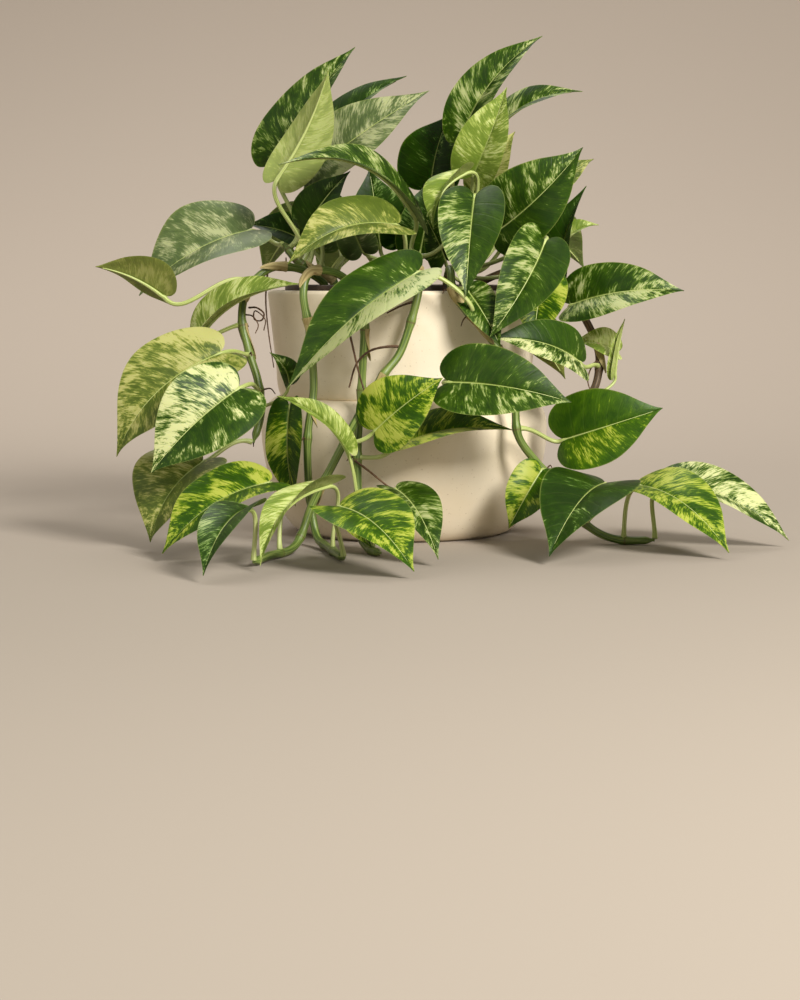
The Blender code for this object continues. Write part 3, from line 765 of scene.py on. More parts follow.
@dataclass(frozen=True)
class LeafFinish:
    """A variegated blade: streaks that run along its side veins, over a green ground.

    Attributes:
        tone: Family of colour.
        left: Cream share of the left half.
        right: Cream share of the right half.
        length: Length of the blade, metres.
        seed: A number that makes this leaf's streaks its own.
    """

    tone: Tone
    left: float
    right: float
    length: float
    seed: float

    STREAK = (600.0, 100.0)
    ZONE = (85.0, 48.0)
    FINE = (1700.0, 190.0)
    LAYER_STEP = 7.3
    PATTERN_WEIGHTS = (0.44, 0.62, 0.34)
    SPREAD = 0.096
    MEAN = 0.700
    GREEN_BAND = (-0.09, -0.01)
    PALE_BAND = (-0.014, 0.012)
    CREAM_BAND = (0.035, 0.075)
    RIB_WIDTH = (0.0009, 0.0006)
    VEINS = 9

    def level(self, share: float) -> float:
        """Height of the streak noise above which this share of the surface lies, as for a normal spread."""
        return self.MEAN + self.SPREAD * NormalDist().inv_cdf(min(max(1 - share, 0.02), 0.98))

    def material(self, name: str) -> bpy.types.Material:
        """The finish as a material."""
        shader, colours = Shader(name), PALETTES[self.tone]
        along, raw, _ = shader.surface_map()
        under = raw > 1.0
        across = raw - under * 2.0
        side = across > 0.0
        layer = self.seed * self.LAYER_STEP
        veinward = across.distance()

        def pattern_noise(scale: tuple[float, float], width: Socket, depth: Value, *look: float) -> Socket:
            """Noise over the blade, stretched along the side veins by its two scales."""
            return shader.noise(shader.vector(along * scale[0], width * scale[1], depth), 1.0, *look)

        streak = pattern_noise(self.STREAK, veinward, side * 9.0 + layer, 3, 0.6, 0.6)
        zone = pattern_noise(self.ZONE, across, layer + 3, 2, 0.55, 0.6)
        fine = pattern_noise(self.FINE, veinward, side * 5.0 + layer, 3, 0.65, 0.4)
        streak_weight, zone_weight, fine_weight = self.PATTERN_WEIGHTS
        pattern = streak * streak_weight + zone * zone_weight + fine * fine_weight
        left, right = self.level(self.left), self.level(self.right)
        edge = left + side * (right - left)
        depth = shader.step(zone * 0.6 + fine * 0.4, 0.36, 0.62)
        colour = shader.mix(depth * 0.6, colours.ground, colours.green)
        for (low, high), share, tint in (
            (self.GREEN_BAND, 0.75, colours.green),
            (self.PALE_BAND, 0.92, colours.pale),
            (self.CREAM_BAND, 0.95, colours.cream),
        ):
            colour = shader.mix(shader.step(pattern, edge + low, edge + high) * share, colour, tint)
        rib_width = self.RIB_WIDTH[0] - along / self.length * self.RIB_WIDTH[1]
        rib = 1 - shader.step(veinward, rib_width * 0.5, rib_width * 1.4)
        vein = self.vein_lines(shader, along, across)
        colour = shader.mix(vein * 0.03, colour, MIDRIB)
        colour = shader.mix(rib * 0.42, colour, MIDRIB)
        margin = shader.margin()
        colour = shader.mix(shader.step(margin, 0.97, 0.998) * 0.35, colour, MIDRIB)
        colour = shader.mix(under * 0.6, colour, colours.under)
        height = zone * 0.7 + vein * -0.18 + streak * 0.15 + rib * -0.5
        return shader.finish(
            Base_Color=colour,
            Roughness=0.38 + streak * 0.12 + under * 0.2,
            Normal=shader.bump(height, 0.4, 0.0012),
            Specular_IOR_Level=0.17,
            Coat_Weight=0.02,
            Coat_Roughness=0.28,
            Subsurface_Weight=0.1,
            Subsurface_Radius=(0.6, 1.0, 0.15),
            Subsurface_Scale=0.002,
        )

    def vein_lines(self, shader: Shader, along: Socket, across: Socket) -> Socket:
        """Side veins: thin lines where the place along, in vein spacings, is near a whole number."""
        place = along * (self.VEINS / self.length) + (across > 0.0) * 0.4
        from_vein = ((place.fraction() - 0.5) * 2.0).distance()
        return shader.step(from_vein, 0.82, 0.98)


@dataclass(frozen=True)
class StalkFinish:
    """A stalk or root: fine lengthwise lines, patches of old bark, and brown scars where leaves were.

    Attributes:
        light: Colour of its pale lines.
        dark: Colour between them.
        scar: Colour of old bark.
        scarred: Share of it that old bark covers.
        roughness: Roughness.
    """

    light: Colour
    dark: Colour
    scar: Colour
    scarred: float
    roughness: float

    def material(self, name: str) -> bpy.types.Material:
        """The finish as a material."""
        shader = Shader(name)
        along, around, _ = shader.surface_map()
        turn = around * FULL_TURN
        ring = (turn.sine(), (turn + RIGHT_ANGLE).sine())
        lines = shader.noise(shader.vector(ring[0] * 3.2, ring[1] * 3.2, along * 26.0), 1.0, 3, 0.6)
        patches = shader.noise(shader.vector(ring[0] * 0.8, ring[1] * 0.8, along * 70.0), 1.0, 3, 0.6)
        grain = shader.noise(shader.vector(ring[0] * 5, ring[1] * 5, along * 900.0), 1.0, 2, 0.6)
        colour = shader.mix(shader.step(lines, 0.36, 0.62), self.dark, self.light)
        low = 0.72 - self.scarred * 0.5
        bark = shader.step(patches * 0.75 + lines * 0.25, low, low + 0.1)
        colour = shader.mix(bark * 0.85, colour, self.scar)
        node = shader.margin()
        colour = shader.mix(shader.step(node, 0.45, 0.9) * 0.7, colour, self.scar)
        height = lines * 0.6 + grain * 0.2 + node * -0.3
        return shader.finish(
            Base_Color=colour,
            Roughness=self.roughness + bark * 0.25,
            Normal=shader.bump(height, 0.4, 0.0008),
            Coat_Weight=0.06,
            Coat_Roughness=0.3,
        )


@dataclass(frozen=True)
class CeramicFinish:
    """Matte cream glaze over clay: slow mottling, fine specks and a skin that is not quite smooth."""

    glaze: Colour = srgb("#f0e3c9")
    warm: Colour = srgb("#e6d5b4")
    speck: Colour = srgb("#b39a72")

    def material(self, name: str) -> bpy.types.Material:
        """The finish as a material."""
        shader = Shader(name)
        where = shader.place()
        cloud = shader.noise(where, 22, 3, 0.55, 0.4)
        grain = shader.noise(where, 900, 3, 0.6)
        x, y, z = shader.parts(where)
        throwing = shader.noise(shader.vector(x * 6, y * 6, z * 260), 1.0, 2, 0.5)
        specks = shader.step(shader.noise(where, 620, 1, 0.4), 0.71, 0.75)
        colour = shader.mix(shader.step(cloud, 0.35, 0.68) * 0.55, self.glaze, self.warm)
        colour = shader.mix(specks * 0.35, colour, self.speck)
        height = grain * 0.35 + throwing * 0.5 + cloud * 0.3
        return shader.finish(
            Base_Color=colour,
            Roughness=0.5 + grain * 0.14,
            Normal=shader.bump(height, 0.22, 0.0008),
        )


@dataclass(frozen=True)
class PlasticFinish:
    """Thin moulded plastic of a nursery pot: dark, a little dusty, with a fine moulded grain."""

    colour: Colour = srgb("#3a2a20")
    dust: Colour = srgb("#77624d")

    def material(self, name: str) -> bpy.types.Material:
        """The finish as a material."""
        shader = Shader(name)
        where = shader.place()
        dust = shader.noise(where, 90, 4, 0.65)
        grain = shader.noise(where, 2400, 2, 0.5)
        colour = shader.mix(shader.step(dust, 0.45, 0.75) * 0.5, self.colour, self.dust)
        return shader.finish(
            Base_Color=colour,
            Roughness=0.42 + dust * 0.2,
            Normal=shader.bump(grain, 0.15, 0.0003),
        )


@dataclass(frozen=True)
class LooseFinish:
    """Loose matter, such as potting mix, bark or perlite: two colours in fine crumbs."""

    dark: Colour
    light: Colour
    crumb: float = 700
    roughness: float = 0.9

    def material(self, name: str) -> bpy.types.Material:
        """The finish as a material."""
        shader = Shader(name)
        where = shader.place()
        crumbs = shader.noise(where, self.crumb, 4, 0.7)
        damp = shader.noise(where, 60, 3, 0.6)
        colour = shader.mix(shader.step(crumbs * 0.7 + damp * 0.3, 0.4, 0.66), self.dark, self.light)
        return shader.finish(
            Base_Color=colour,
            Roughness=self.roughness - damp * 0.15,
            Normal=shader.bump(crumbs, 0.7, 0.0015),
        )


GREEN_STALK = StalkFinish(srgb("#7f9145"), srgb("#3f5919"), srgb("#5f4d2b"), 0.22, 0.42)
PETIOLE = StalkFinish(srgb("#c9d28a"), srgb("#96a850"), srgb("#8d8a4e"), 0.02, 0.4)
WOODY_STALK = StalkFinish(srgb("#6b5433"), srgb("#3c2f1d"), srgb("#4a3621"), 0.5, 0.65)
HUSK = StalkFinish(srgb("#b0a06a"), srgb("#8a7a48"), srgb("#7a6038"), 0.3, 0.75)
ROOT = StalkFinish(srgb("#6a4a2c"), srgb("#3a2717"), srgb("#2b1d12"), 0.4, 0.75)


# Pots and soil


@dataclass
class Planter:
    """The two-tier ceramic planter, turned from the same arcs as its solid.

    Attributes:
        height: Level of the rim.
        bulge_radius: Widest radius of the lower tier.
        rim_radius: Radius at the rim.
    """

    height: float
    bulge_radius: float
    rim_radius: float = 0.100
    tier_radius: float = 0.094
    tier_level: float = 0.120
    waist_radius: float = 0.090
    waist_level: float = 0.101
    bulge_level: float = 0.077
    base_radius: float = 0.0755
    wall: float = 0.006
    floor: float = 0.008
    foot_ring: float = 0.0012

    def arc(self, start: Point, end: Point, power: float, upright_first: bool, spans: int = 22) -> Array:
        """A quarter of a superellipse from start to end, as (radius, level) points after the start.

        With angle a from 0 to a right angle, one coordinate goes by sin(a)^(2/power) and the other by
        1 - cos(a)^(2/power), so the curve is upright at one end and level at the other.
        """
        angle = np.linspace(0, RIGHT_ANGLE, spans + 1)[1:]
        rise, turn = np.sin(angle) ** (2 / power), np.maximum(np.cos(angle), 0) ** (2 / power)
        if upright_first:
            radius, level = end[0] + (start[0] - end[0]) * turn, start[1] + (end[1] - start[1]) * rise
        else:
            radius, level = start[0] + (end[0] - start[0]) * rise, end[1] + (start[1] - end[1]) * turn
        return np.stack([radius, level], axis=1)

    def outside(self) -> Array:
        """The outer profile, from the edge of the base up to just under the rim."""
        foot, bulge = (self.base_radius, self.foot_ring), (self.bulge_radius, self.bulge_level)
        waist, tier = (self.waist_radius, self.waist_level), (self.tier_radius, self.tier_level)
        rim = np.linspace(tier, (self.rim_radius, self.height - self.wall / 2), 12)[1:]
        return np.vstack([
            [foot], self.arc(foot, bulge, 1.7, False, 30), self.arc(bulge, waist, 2, True),
            self.arc(waist, tier, 2, False), rim,
        ])

    def profile(self) -> Array:
        """The whole profile: up the inside, over a round rim, down the outside and in along the base."""
        outside = self.outside()
        inside = outside[outside[:, 1] > 2 * self.floor] - [self.wall, 0]
        lip = np.linspace(math.pi, 0, 13)[:, None]
        middle = np.array([self.rim_radius - self.wall / 2, self.height - self.wall / 2])
        rim = middle + self.wall / 2 * np.hstack([np.cos(lip), np.sin(lip)])
        bottom = np.array([
            [self.base_radius - 0.0015, 0], [self.base_radius - 0.006, 0],
            [self.base_radius - 0.0075, self.foot_ring], [0, self.foot_ring],
        ])
        floor_edge = inside[0, 0]
        floor = np.array([
            [0, self.floor], [floor_edge - 0.008, self.floor], [floor_edge - 0.002, self.floor + 0.003],
        ])
        return np.vstack([floor, inside, rim, outside[-2::-1], bottom])

    def build(self) -> None:
        """Makes the planter."""
        finish = CeramicFinish().material("cream_glaze")
        shell = turned_shell(self.profile(), 192)
        add_piece("planter_body", shell, [finish], ("planter",), 40)


@dataclass
class GrowerPot:
    """The thin nursery pot inside the planter.

    Attributes:
        foot: Level of its underside.
        rim: Level of its rim.
        lip_radius: Outer radius of its lip.
    """

    foot: float
    rim: float
    lip_radius: float
    lip: float = 0.0035
    lip_height: float = 0.006
    wall: float = 0.0014
    foot_radius: float = 0.064

    def profile(self) -> Array:
        """A tapered wall with a rolled lip: up the inside and down the outside, corners rounded."""
        top = self.lip_radius - self.lip
        lip_foot = self.rim - self.lip_height
        corners = np.array([
            [0, self.foot + self.wall], [self.foot_radius - self.wall, self.foot + self.wall],
            [top - self.wall, self.rim - 0.0008], [top, self.rim], [self.lip_radius, self.rim - 0.0004],
            [self.lip_radius, lip_foot], [self.lip_radius - 0.001, lip_foot],
            [self.lip_radius - 0.0014, self.rim - 0.002], [top, self.rim - 0.0025],
            [self.foot_radius, self.foot], [0, self.foot],
        ])
        return round_corners(corners, 0.0006, 3)

    def build(self) -> None:
        """Makes the pot."""
        finish = PlasticFinish().material("nursery_plastic")
        shell = turned_shell(self.profile())
        add_piece("grower_pot_body", shell, [finish], ("grower_pot",), 40)


@dataclass
class SoilBed:
    """Potting mix: a crumbled, heaped surface with bark and perlite lying on it.

    Attributes:
        radius: Radius of its edge.
        top: Level of its heap.
        bottom: Level of its underside.
        heap: Height of the heap over the edge.
    """

    radius: float
    top: float
    bottom: float
    heap: float = 0.005
    crumble: float = 0.0016
    bark_count: int = 420
    perlite_count: int = 90
    segments: int = 132
    seed: int = 11

    def level(self, x: Array, y: Array) -> Array:
        """Height over (x, y): a parabola that drops by the heap at the edge, plus three crossed ripples."""
        share = np.minimum((x * x + y * y) / self.radius**2, 1)
        waves = (
            np.sin(x * 410 + 1.3) * np.sin(y * 370 + 0.4)
            + 0.7 * np.sin(x * 930 + y * 520) * np.sin(y * 1010 - x * 340)
            + 0.4 * np.sin(x * 2100 - y * 900) * np.sin(y * 1900 + x * 1300)
        )
        return self.top - self.heap * share + self.crumble * 0.5 * waves * (1 - share**8)

    def build(self) -> None:
        """Makes the bed and what lies on it."""
        radii = np.concatenate([np.linspace(0.0015, 1, 44) * self.radius, [self.radius - 0.0003]])
        angle = circle(self.segments, backwards=True)
        x, y = radii[:, None] * np.cos(angle), radii[:, None] * np.sin(angle)
        z = self.level(x, y)
        z[-1] = self.bottom
        rings = np.stack([x, y, z], axis=-1)
        middle = float(self.level(np.zeros(1), np.zeros(1))[0])
        ends = (on_axis(middle), on_axis(self.bottom))
        shell = rings_shell(rings, radii, turns(self.segments), ends)
        mix = LooseFinish(srgb("#1f1510"), srgb("#4a3626")).material("potting_mix")
        add_piece("soil_bed", shell, [mix], ("soil",), 80)
        bark = LooseFinish(srgb("#3a2617"), srgb("#7a5a3a"), 400, 0.85).material("bark_crumbs")
        perlite = LooseFinish(srgb("#cfcbc0"), srgb("#f1efe8"), 900, 0.95).material("perlite")
        chips = self.crumbs(self.bark_count, (0.0016, 0.0048), 0.35, 1)
        grains = self.crumbs(self.perlite_count, (0.0010, 0.0022), 0.85, 2)
        add_piece("soil_bark", chips, [bark])
        add_piece("soil_perlite", grains, [perlite])

    def crumbs(self, count: int, size: tuple[float, float], flat: float, salt: int) -> Shell:
        """Many small lumps strewn on the bed: octahedra of eight faces, turned, flattened and pushed about.

        Args:
            count: How many.
            size: Least and greatest length, metres.
            flat: Height as a share of length.
            salt: Makes this set differ from the others.

        Returns:
            The lumps as one surface.
        """
        rng = np.random.default_rng(self.seed + salt)
        corners = np.array([[1, 0, 0], [0, 1, 0], [-1, 0, 0], [0, -1, 0], [0, 0, 1], [0, 0, -1]], float)
        sides = np.array([
            [0, 1, 4], [1, 2, 4], [2, 3, 4], [3, 0, 4], [1, 0, 5], [2, 1, 5], [3, 2, 5], [0, 3, 5],
        ])
        lumps = corners * (0.75 + 0.5 * rng.random((count, 6, 1)))
        lengths = size[0] + (size[1] - size[0]) * rng.random(count) ** 2
        lumps *= lengths[:, None, None] / 2 * np.array([1, 0.6, flat])
        turn = rng.random(count) * FULL_TURN
        tilt = (rng.random(count) - 0.5) * 0.9
        cos, sin = np.cos(turn)[:, None], np.sin(turn)[:, None]
        x = lumps[..., 0] * cos - lumps[..., 1] * sin
        y = lumps[..., 0] * sin + lumps[..., 1] * cos
        z = lumps[..., 2] + lumps[..., 0] * np.sin(tilt)[:, None]
        radius = (self.radius - 0.004) * np.sqrt(rng.random(count))
        angle = rng.random(count) * FULL_TURN
        cx, cy = radius * np.cos(angle), radius * np.sin(angle)
        cz = self.level(cx, cy) + lengths * flat * 0.12
        points = np.stack([x + cx[:, None], y + cy[:, None], z + cz[:, None]], axis=-1).reshape(-1, 3)
        faces = (sides[None] + 6 * np.arange(count)[:, None, None]).reshape(-1, 3)
        faces = np.hstack([faces, faces[:, 2:]])
        return Shell(
            points, faces, np.zeros((len(faces), 4, 2)), np.zeros(len(faces), int), np.zeros(len(points))
        )


# Plant


@dataclass
class Stems:
    """The plant's stems, with swollen nodes where leaves grow.

    Attributes:
        soil: The bed that they rise from.
        radius: Radius between nodes.
    """

    soil: SoilBed
    radius: float = 0.0028
    rise: float = 0.008
    depth: float = 0.006
    node_spacing: float = 0.042
    node_swell: float = 0.22
    node_length: float = 0.0035
    scar_offset: float = 0.001
    scar_length: float = 0.0011
    tip_length: float = 0.006
    sides: int = 14
    paths: dict[str, Array] = field(default_factory=dict)

    def path(self, name: str) -> Array:
        """A stem's centre line: a Catmull-Rom curve through its layout, from the soil's own level."""
        if name not in self.paths:
            (x, y), *route = STEMS[name]
            x, y = x * MM, y * MM
            level = self.soil.top - self.soil.heap * (x * x + y * y) / self.soil.radius**2 + 0.0006
            points = np.array([(x, y, level), (x, y, level + self.rise), *(np.array(route) * MM)])
            fine = catmull_rom(points, 40 * len(points))
            length = np.linalg.norm(np.diff(fine, axis=0), axis=1).sum()
            self.paths[name] = evenly_along(fine, max(24, round(length / 0.0016)))
        return self.paths[name]

    def length(self, name: str) -> float:
        """A stem's length."""
        path = self.path(name)
        return np.linalg.norm(path[1] - path[0]) * (len(path) - 1)

    def node_places(self, name: str) -> Array:
        """Distances along a stem of its nodes: where its leaves leave, and where none is near, evenly."""
        length = self.length(name)
        specs = [*LEAVES.values(), *SMALL_LEAVES.values()]
        leaves = [leaf.at * length for leaf in specs if leaf.stem == name]
        spare = np.arange(self.node_spacing, length - 0.01, self.node_spacing)
        far = [place for place in spare if min((abs(place - leaf) for leaf in leaves), default=1) > 0.02]
        return np.array(sorted(leaves + far))

    def build(self) -> None:
        """Makes every stem."""
        green, woody = GREEN_STALK.material("green_stalk"), WOODY_STALK.material("woody_stalk")
        for name in STEMS:
            path = self.path(name)
            step = np.linalg.norm(path[1] - path[0])
            place = np.arange(len(path)) * step
            from_node = place[:, None] - self.node_places(name)
            near = bell(from_node, self.node_length).max(axis=1)
            taper = np.clip((place[-1] - place) / self.tip_length, 0.3, 1)
            radii = self.radius * (1 + self.node_swell * near) * taper
            sunk = np.vstack([path[0] - [0, 0, self.depth], path])
            radii = np.concatenate([radii[:1], radii])
            shell = tube_shell(sunk, radii, self.sides, np.array([0.3, 1, 0.1]))
            scar = bell(from_node - self.scar_offset, self.scar_length).max(axis=1)
            shell.margin = np.concatenate([np.repeat([0, *scar], self.sides), [0, 0]])
            bark = name in WOODY_STEMS
            add_piece(f"{name}_stem", shell, [woody if bark else green], (name,))


@dataclass
class Roots:
    """Thin brown roots that leave the stems in the air, and short stubs at the nodes."""

    stems: Stems
    seed: int = 5
    stub_length: float = 0.007
    points: int = 40

    def build(self) -> None:
        """Makes the long roots, one piece, and the stubs, another."""
        finish = ROOT.material("dry_root")
        shells = []
        for points, thickness in ROOTS.values():
            path = evenly_along(catmull_rom(np.array(points) * MM, 60), self.points)
            wobble = 1 + 0.08 * np.sin(np.arange(self.points) * 1.7)
            radii = thickness / 2 * MM * np.linspace(1.1, 0.6, self.points) * wobble
            shells.append(tube_shell(path, radii, 8, np.array([1, 0.3, 0.2])))
        add_piece("aerial_roots", joined(shells), [finish])
        add_piece("root_stubs", joined(self.stubs()), [finish])

    def stubs(self) -> list[Shell]:
        """A short curved root at some nodes of each vine, hanging a little away from the stem."""
        rng = np.random.default_rng(self.seed)
        shells = []
        for name in (stem for stem in STEMS if stem.startswith("vine")):
            path, length = self.stems.path(name), self.stems.length(name)
            for place in self.stems.node_places(name):
                point, way = point_along(path, min(place / length, 1))
                turn = rng.random() * FULL_TURN
                if rng.random() < 0.35 or point[2] < 0.02:
                    continue
                out = unit(np.cross(way, [math.cos(turn), math.sin(turn), 0.3]))
                reach = self.stub_length * (0.5 + rng.random())
                line = np.array([
                    point + out * self.stems.radius * 0.5,
                    point + out * (self.stems.radius + reach * 0.5),
                    point + out * (self.stems.radius + reach * 0.85) - [0, 0, reach * 0.45],
                ])
                curve, radii = catmull_rom(line, 8), np.linspace(0.0007, 0.0003, 8)
                shells.append(tube_shell(curve, radii, 6, np.array([0.2, 0.1, 1])))
        return shells


@dataclass
class Husks:
    """Dry papery sheaths that once wrapped young leaves and still hug the stems above some nodes."""

    stems: Stems
    length: float = 0.022
    spread_degrees: float = 120
    lean: float = 0.0030
    thickness: float = 0.0004
    share_kept: float = 0.55
    lowest: float = 0.03
    seed: int = 8

    def husk(self, path: Array, start: float, span: float, turn: float) -> Shell:
        """One husk: an arc of a thin tube about the stem, which narrows to a point and leans off it.

        At share s of its length the arc's half angle is the spread times 1 - 0.94 s^2, and it stands
        off the stem by the lean times s^2.

        Args:
            path: The stem's centre line.
            start: Share of the stem's length at its foot.
            span: Its length as a share of the stem's.
            turn: The way round the stem that its back faces.

        Returns:
            The husk.
        """
        share = np.linspace(0, 1, 12)
        samples = [point_along(path, start + span * s) for s in share]
        centres, ways = (np.array(rows) for rows in zip(*samples))
        side = unit(np.cross(ways, [math.cos(turn), math.sin(turn), 0.2]))
        out = np.cross(side, ways)
        half = math.radians(self.spread_degrees) * (1 - 0.94 * share**2)
        angle = (half[:, None] * np.linspace(-1, 1, 11))[..., None]
        centres = centres + out * (self.lean * share**2)[:, None]
        ways_round = out[:, None] * np.cos(angle) + side[:, None] * np.sin(angle)
        radius = self.stems.radius * (1 + self.stems.node_swell * np.exp(-9 * share)) + 0.0006
        outer = centres[:, None] + ways_round * radius[:, None, None]
        inner = centres[:, None] + ways_round * (radius - self.thickness)[:, None, None]
        rings = np.concatenate([outer, inner[:, ::-1]], axis=1)
        ends = (rings[0].mean(axis=0), rings[-1].mean(axis=0))
        return rings_shell(rings, share * self.length, turns(rings.shape[1]), ends)

    def build(self) -> None:
        """Makes the husks, as one piece."""
        rng = np.random.default_rng(self.seed)
        shells = []
        for name in STEMS:
            path, length = self.stems.path(name), self.stems.length(name)
            for place in self.stems.node_places(name):
                size, turn, kept = rng.random(3)
                span = self.length * (0.6 + 0.6 * size) / length
                start = place / length
                clear = point_along(path, min(start, 1))[0][2] > self.lowest
                if kept < self.share_kept and clear and 0.01 < start < 0.99 - span:
                    shells.append(self.husk(path, start, span, turn * FULL_TURN))
        add_piece("dry_husks", joined(shells), [HUSK.material("dry_husk")])


# Half of a blade's outline from notch to tip: share of the midrib where its vein starts, then the vein's
# end on the margin, along as a share of the length and across as a share of the half width.
OUTLINE = np.array([
    (0.000, 0.00, 0.00), (0.000, -0.07, 0.17), (0.004, -0.105, 0.45), (0.020, -0.05, 0.76),
    (0.070, 0.09, 0.96), (0.170, 0.28, 1.00), (0.320, 0.48, 0.91), (0.520, 0.67, 0.66),
    (0.740, 0.83, 0.31), (0.900, 0.93, 0.10), (1.000, 1.00, 0.00),
])


@dataclass
class Leaf:
    """One leaf: its petiole and midrib in one tube, and a thin blade.

    Attributes:
        name: Its key in the layout.
        spec: Its place and habit.
        stems: The stems that it may grow from.
        number: Its number, which its small irregularities come from.
    """

    name: str
    spec: LeafSpec
    stems: Stems
    number: int
    sections: int = 40
    half_points: int = 13
    thickness: float = 0.0005
    petiole_radius: float = 0.0017
    vein_bow: float = 1.35
    wave_height: float = 0.07
    groove_depth: float = 0.00035
    groove_width: float = 0.0012
    cup: float = 0.55
    arrive_along: float = 0.75
    arrive_face: float = 0.55

    def __post_init__(self) -> None:
        """Works out the blade's frame: notch, length, and the ways along, out of the face and across."""
        spec = self.spec
        self.base = np.array(spec.base) * MM
        reach = np.array(spec.tip) * MM - self.base
        self.length = float(np.linalg.norm(reach))
        self.along = reach / self.length
        face = np.array(spec.face, float)
        self.face = unit(face - self.along * face.dot(self.along))
        self.across = np.cross(self.along, self.face)
        self.rng = np.random.default_rng(100 + self.number)

    def midrib(self, share: Array) -> Array:
        """Points of the midrib at shares u of its length.

        It runs straight from notch to tip, arched and swept aside by 4u(1 - u), and past u = 0.6 it drops
        by the square of what is beyond.
        """
        share = np.asarray(share, float)[..., None]
        spec = self.spec
        arch = spec.arch * self.length * 4 * share * (1 - share)
        hook = np.maximum(share - 0.6, 0) ** 2
        return (
            self.base
            + self.along * self.length * share
            + self.face * (arch - spec.curl * self.length * hook * 6)
            + self.across * spec.bend * self.length * 4 * share * (1 - share)
        )

    def blade_points(self, section: Array, c: Array) -> Array:
        """Upper side of the blade at each section and place across, c from -1 on the left margin to 1.

        A side vein starts on the midrib and bows forward to the margin. Across it the half rises by its
        fold with a cupped profile t(1 + cup(1 - t)), the margin waves by a sine, and the whole turns
        about the midrib by the twist.
        """
        outline = catmull_rom(OUTLINE, 400)
        places = np.linspace(0, 1, 400)
        foot, ahead, reach = (np.interp(section, places, column)[:, None] for column in outline.T)
        foot, reach = np.clip(foot, 0, 1), np.maximum(reach, 0)
        t, side = np.abs(c)[None, :], np.sign(c)[None, :]
        spec = self.spec
        half = spec.width * MM / 2
        along = foot + (ahead - foot) * t**self.vein_bow
        phase, rows = self.rng.random(2) * FULL_TURN, section[:, None]
        wave = np.where(side > 0, np.sin(14 * rows + phase[0]), np.sin(12 * rows + phase[1]))
        fold = math.radians(spec.fold)
        out = half * reach * t
        rise = out * math.sin(fold) * (1 + self.cup * (1 - t)) + self.wave_height * half * wave * t**2 * reach
        turn = math.radians(spec.twist) * (along - 0.35)
        sideways = side * out * math.cos(fold)
        x = sideways * np.cos(turn) - rise * np.sin(turn)
        z = sideways * np.sin(turn) + rise * np.cos(turn)
        centre = self.midrib(np.clip(along, -0.2, 1))
        return centre + self.across * x[..., None] + self.face * z[..., None]

    def blade(self) -> Shell:
        """The blade as a thin closed surface: the upper side, and the same moved back along its normals.

        Its map is metres along the midrib and across from it, with 2 added on the underside.
        """
        half = (np.arange(self.half_points + 1) / self.half_points) ** self.vein_bow
        c = np.concatenate([-half[::-1], half[1:]])
        section = np.linspace(0.012, 0.992, self.sections) ** 0.92
        top = self.blade_points(section, c)
        normal = unit(np.cross(np.gradient(top, axis=0), np.gradient(top, axis=1)))
        normal *= np.sign((normal * self.face).sum(axis=-1, keepdims=True).mean())
        t = np.abs(c)[None, :, None]
        groove = self.groove_depth * bell(t * self.spec.width * MM / 2, self.groove_width)
        bottom = top - normal * self.thickness * (1 - t**8)
        top = top - normal * groove
        rings = np.concatenate([top, bottom[:, -2:0:-1]], axis=1)
        across = c * self.spec.width * MM / 2
        first = np.concatenate([across[:-1], 2 + across[:0:-1]])
        second = np.concatenate([across[1:], 2 + across[-2::-1]])
        margin = np.concatenate([np.abs(c), np.abs(c[-2:0:-1])])
        foot = np.interp(section, np.linspace(0, 1, 400), catmull_rom(OUTLINE, 400)[:, 0])
        ends = (self.midrib(np.array(0.0)), self.midrib(np.array(1.0)))
        values = np.broadcast_to(margin, rings.shape[:2])
        around = np.stack([first, second], axis=1)
        return rings_shell(rings, foot * self.length, around, ends, margin=values)

    def petiole_path(self) -> tuple[Array, Array]:
        """Centre line and radii from inside the stem to the notch, then on under the midrib.

        The free part is a cubic Bezier curve that leaves the stem square to it and arrives from under
        the blade; under the blade it follows the midrib, sunk by its own radius.
        """
        foot, stem_way = point_along(self.stems.path(self.spec.stem), self.spec.at)
        reach = self.base - foot
        leave = reach + np.array([0, 0, 0.3 * np.linalg.norm(reach)])
        leave = unit(leave - stem_way * leave.dot(stem_way))
        foot = foot + leave * self.stems.radius * 0.4
        arrive = unit(self.along * self.arrive_along + self.face * self.arrive_face)
        end = self.base - self.face * 0.0011
        pull = 0.4 * np.linalg.norm(end - foot)
        t = np.linspace(0, 1, 22)[:, None]
        free = (
            foot * (1 - t) ** 3 + (foot + leave * pull) * 3 * t * (1 - t) ** 2
            + (end - arrive * pull) * 3 * t * t * (1 - t) + end * t**3
        )
        size = self.petiole_radius * min(1, 0.55 + self.spec.width / 90)
        swell = 1 + 0.35 * bell(t[:, 0], 0.10) + 0.12 * bell(1 - t[:, 0], 0.08)
        share = np.linspace(0.04, 0.9, 16)
        rib = size * 0.85 * (1 - 0.85 * share)
        under = self.midrib(share) - self.face * (rib + 0.0002)[:, None]
        return np.vstack([free, under]), np.concatenate([size * 0.92 * swell, rib])

    def build(self, nodes: tuple[str, ...], slot: str) -> None:
        """Makes the leaf."""
        spec = self.spec
        finish = LeafFinish(spec.tone, spec.left, spec.right, self.length, float(self.number))
        path, radii = self.petiole_path()
        stalk = tube_shell(path, radii, 10, self.across, 1)
        shell = joined([self.blade(), stalk])
        materials = [finish.material(f"blade_{self.name}"), bpy.data.materials["petiole_stalk"]]
        add_piece(f"{self.name}_leaf", shell, materials, nodes, 75)


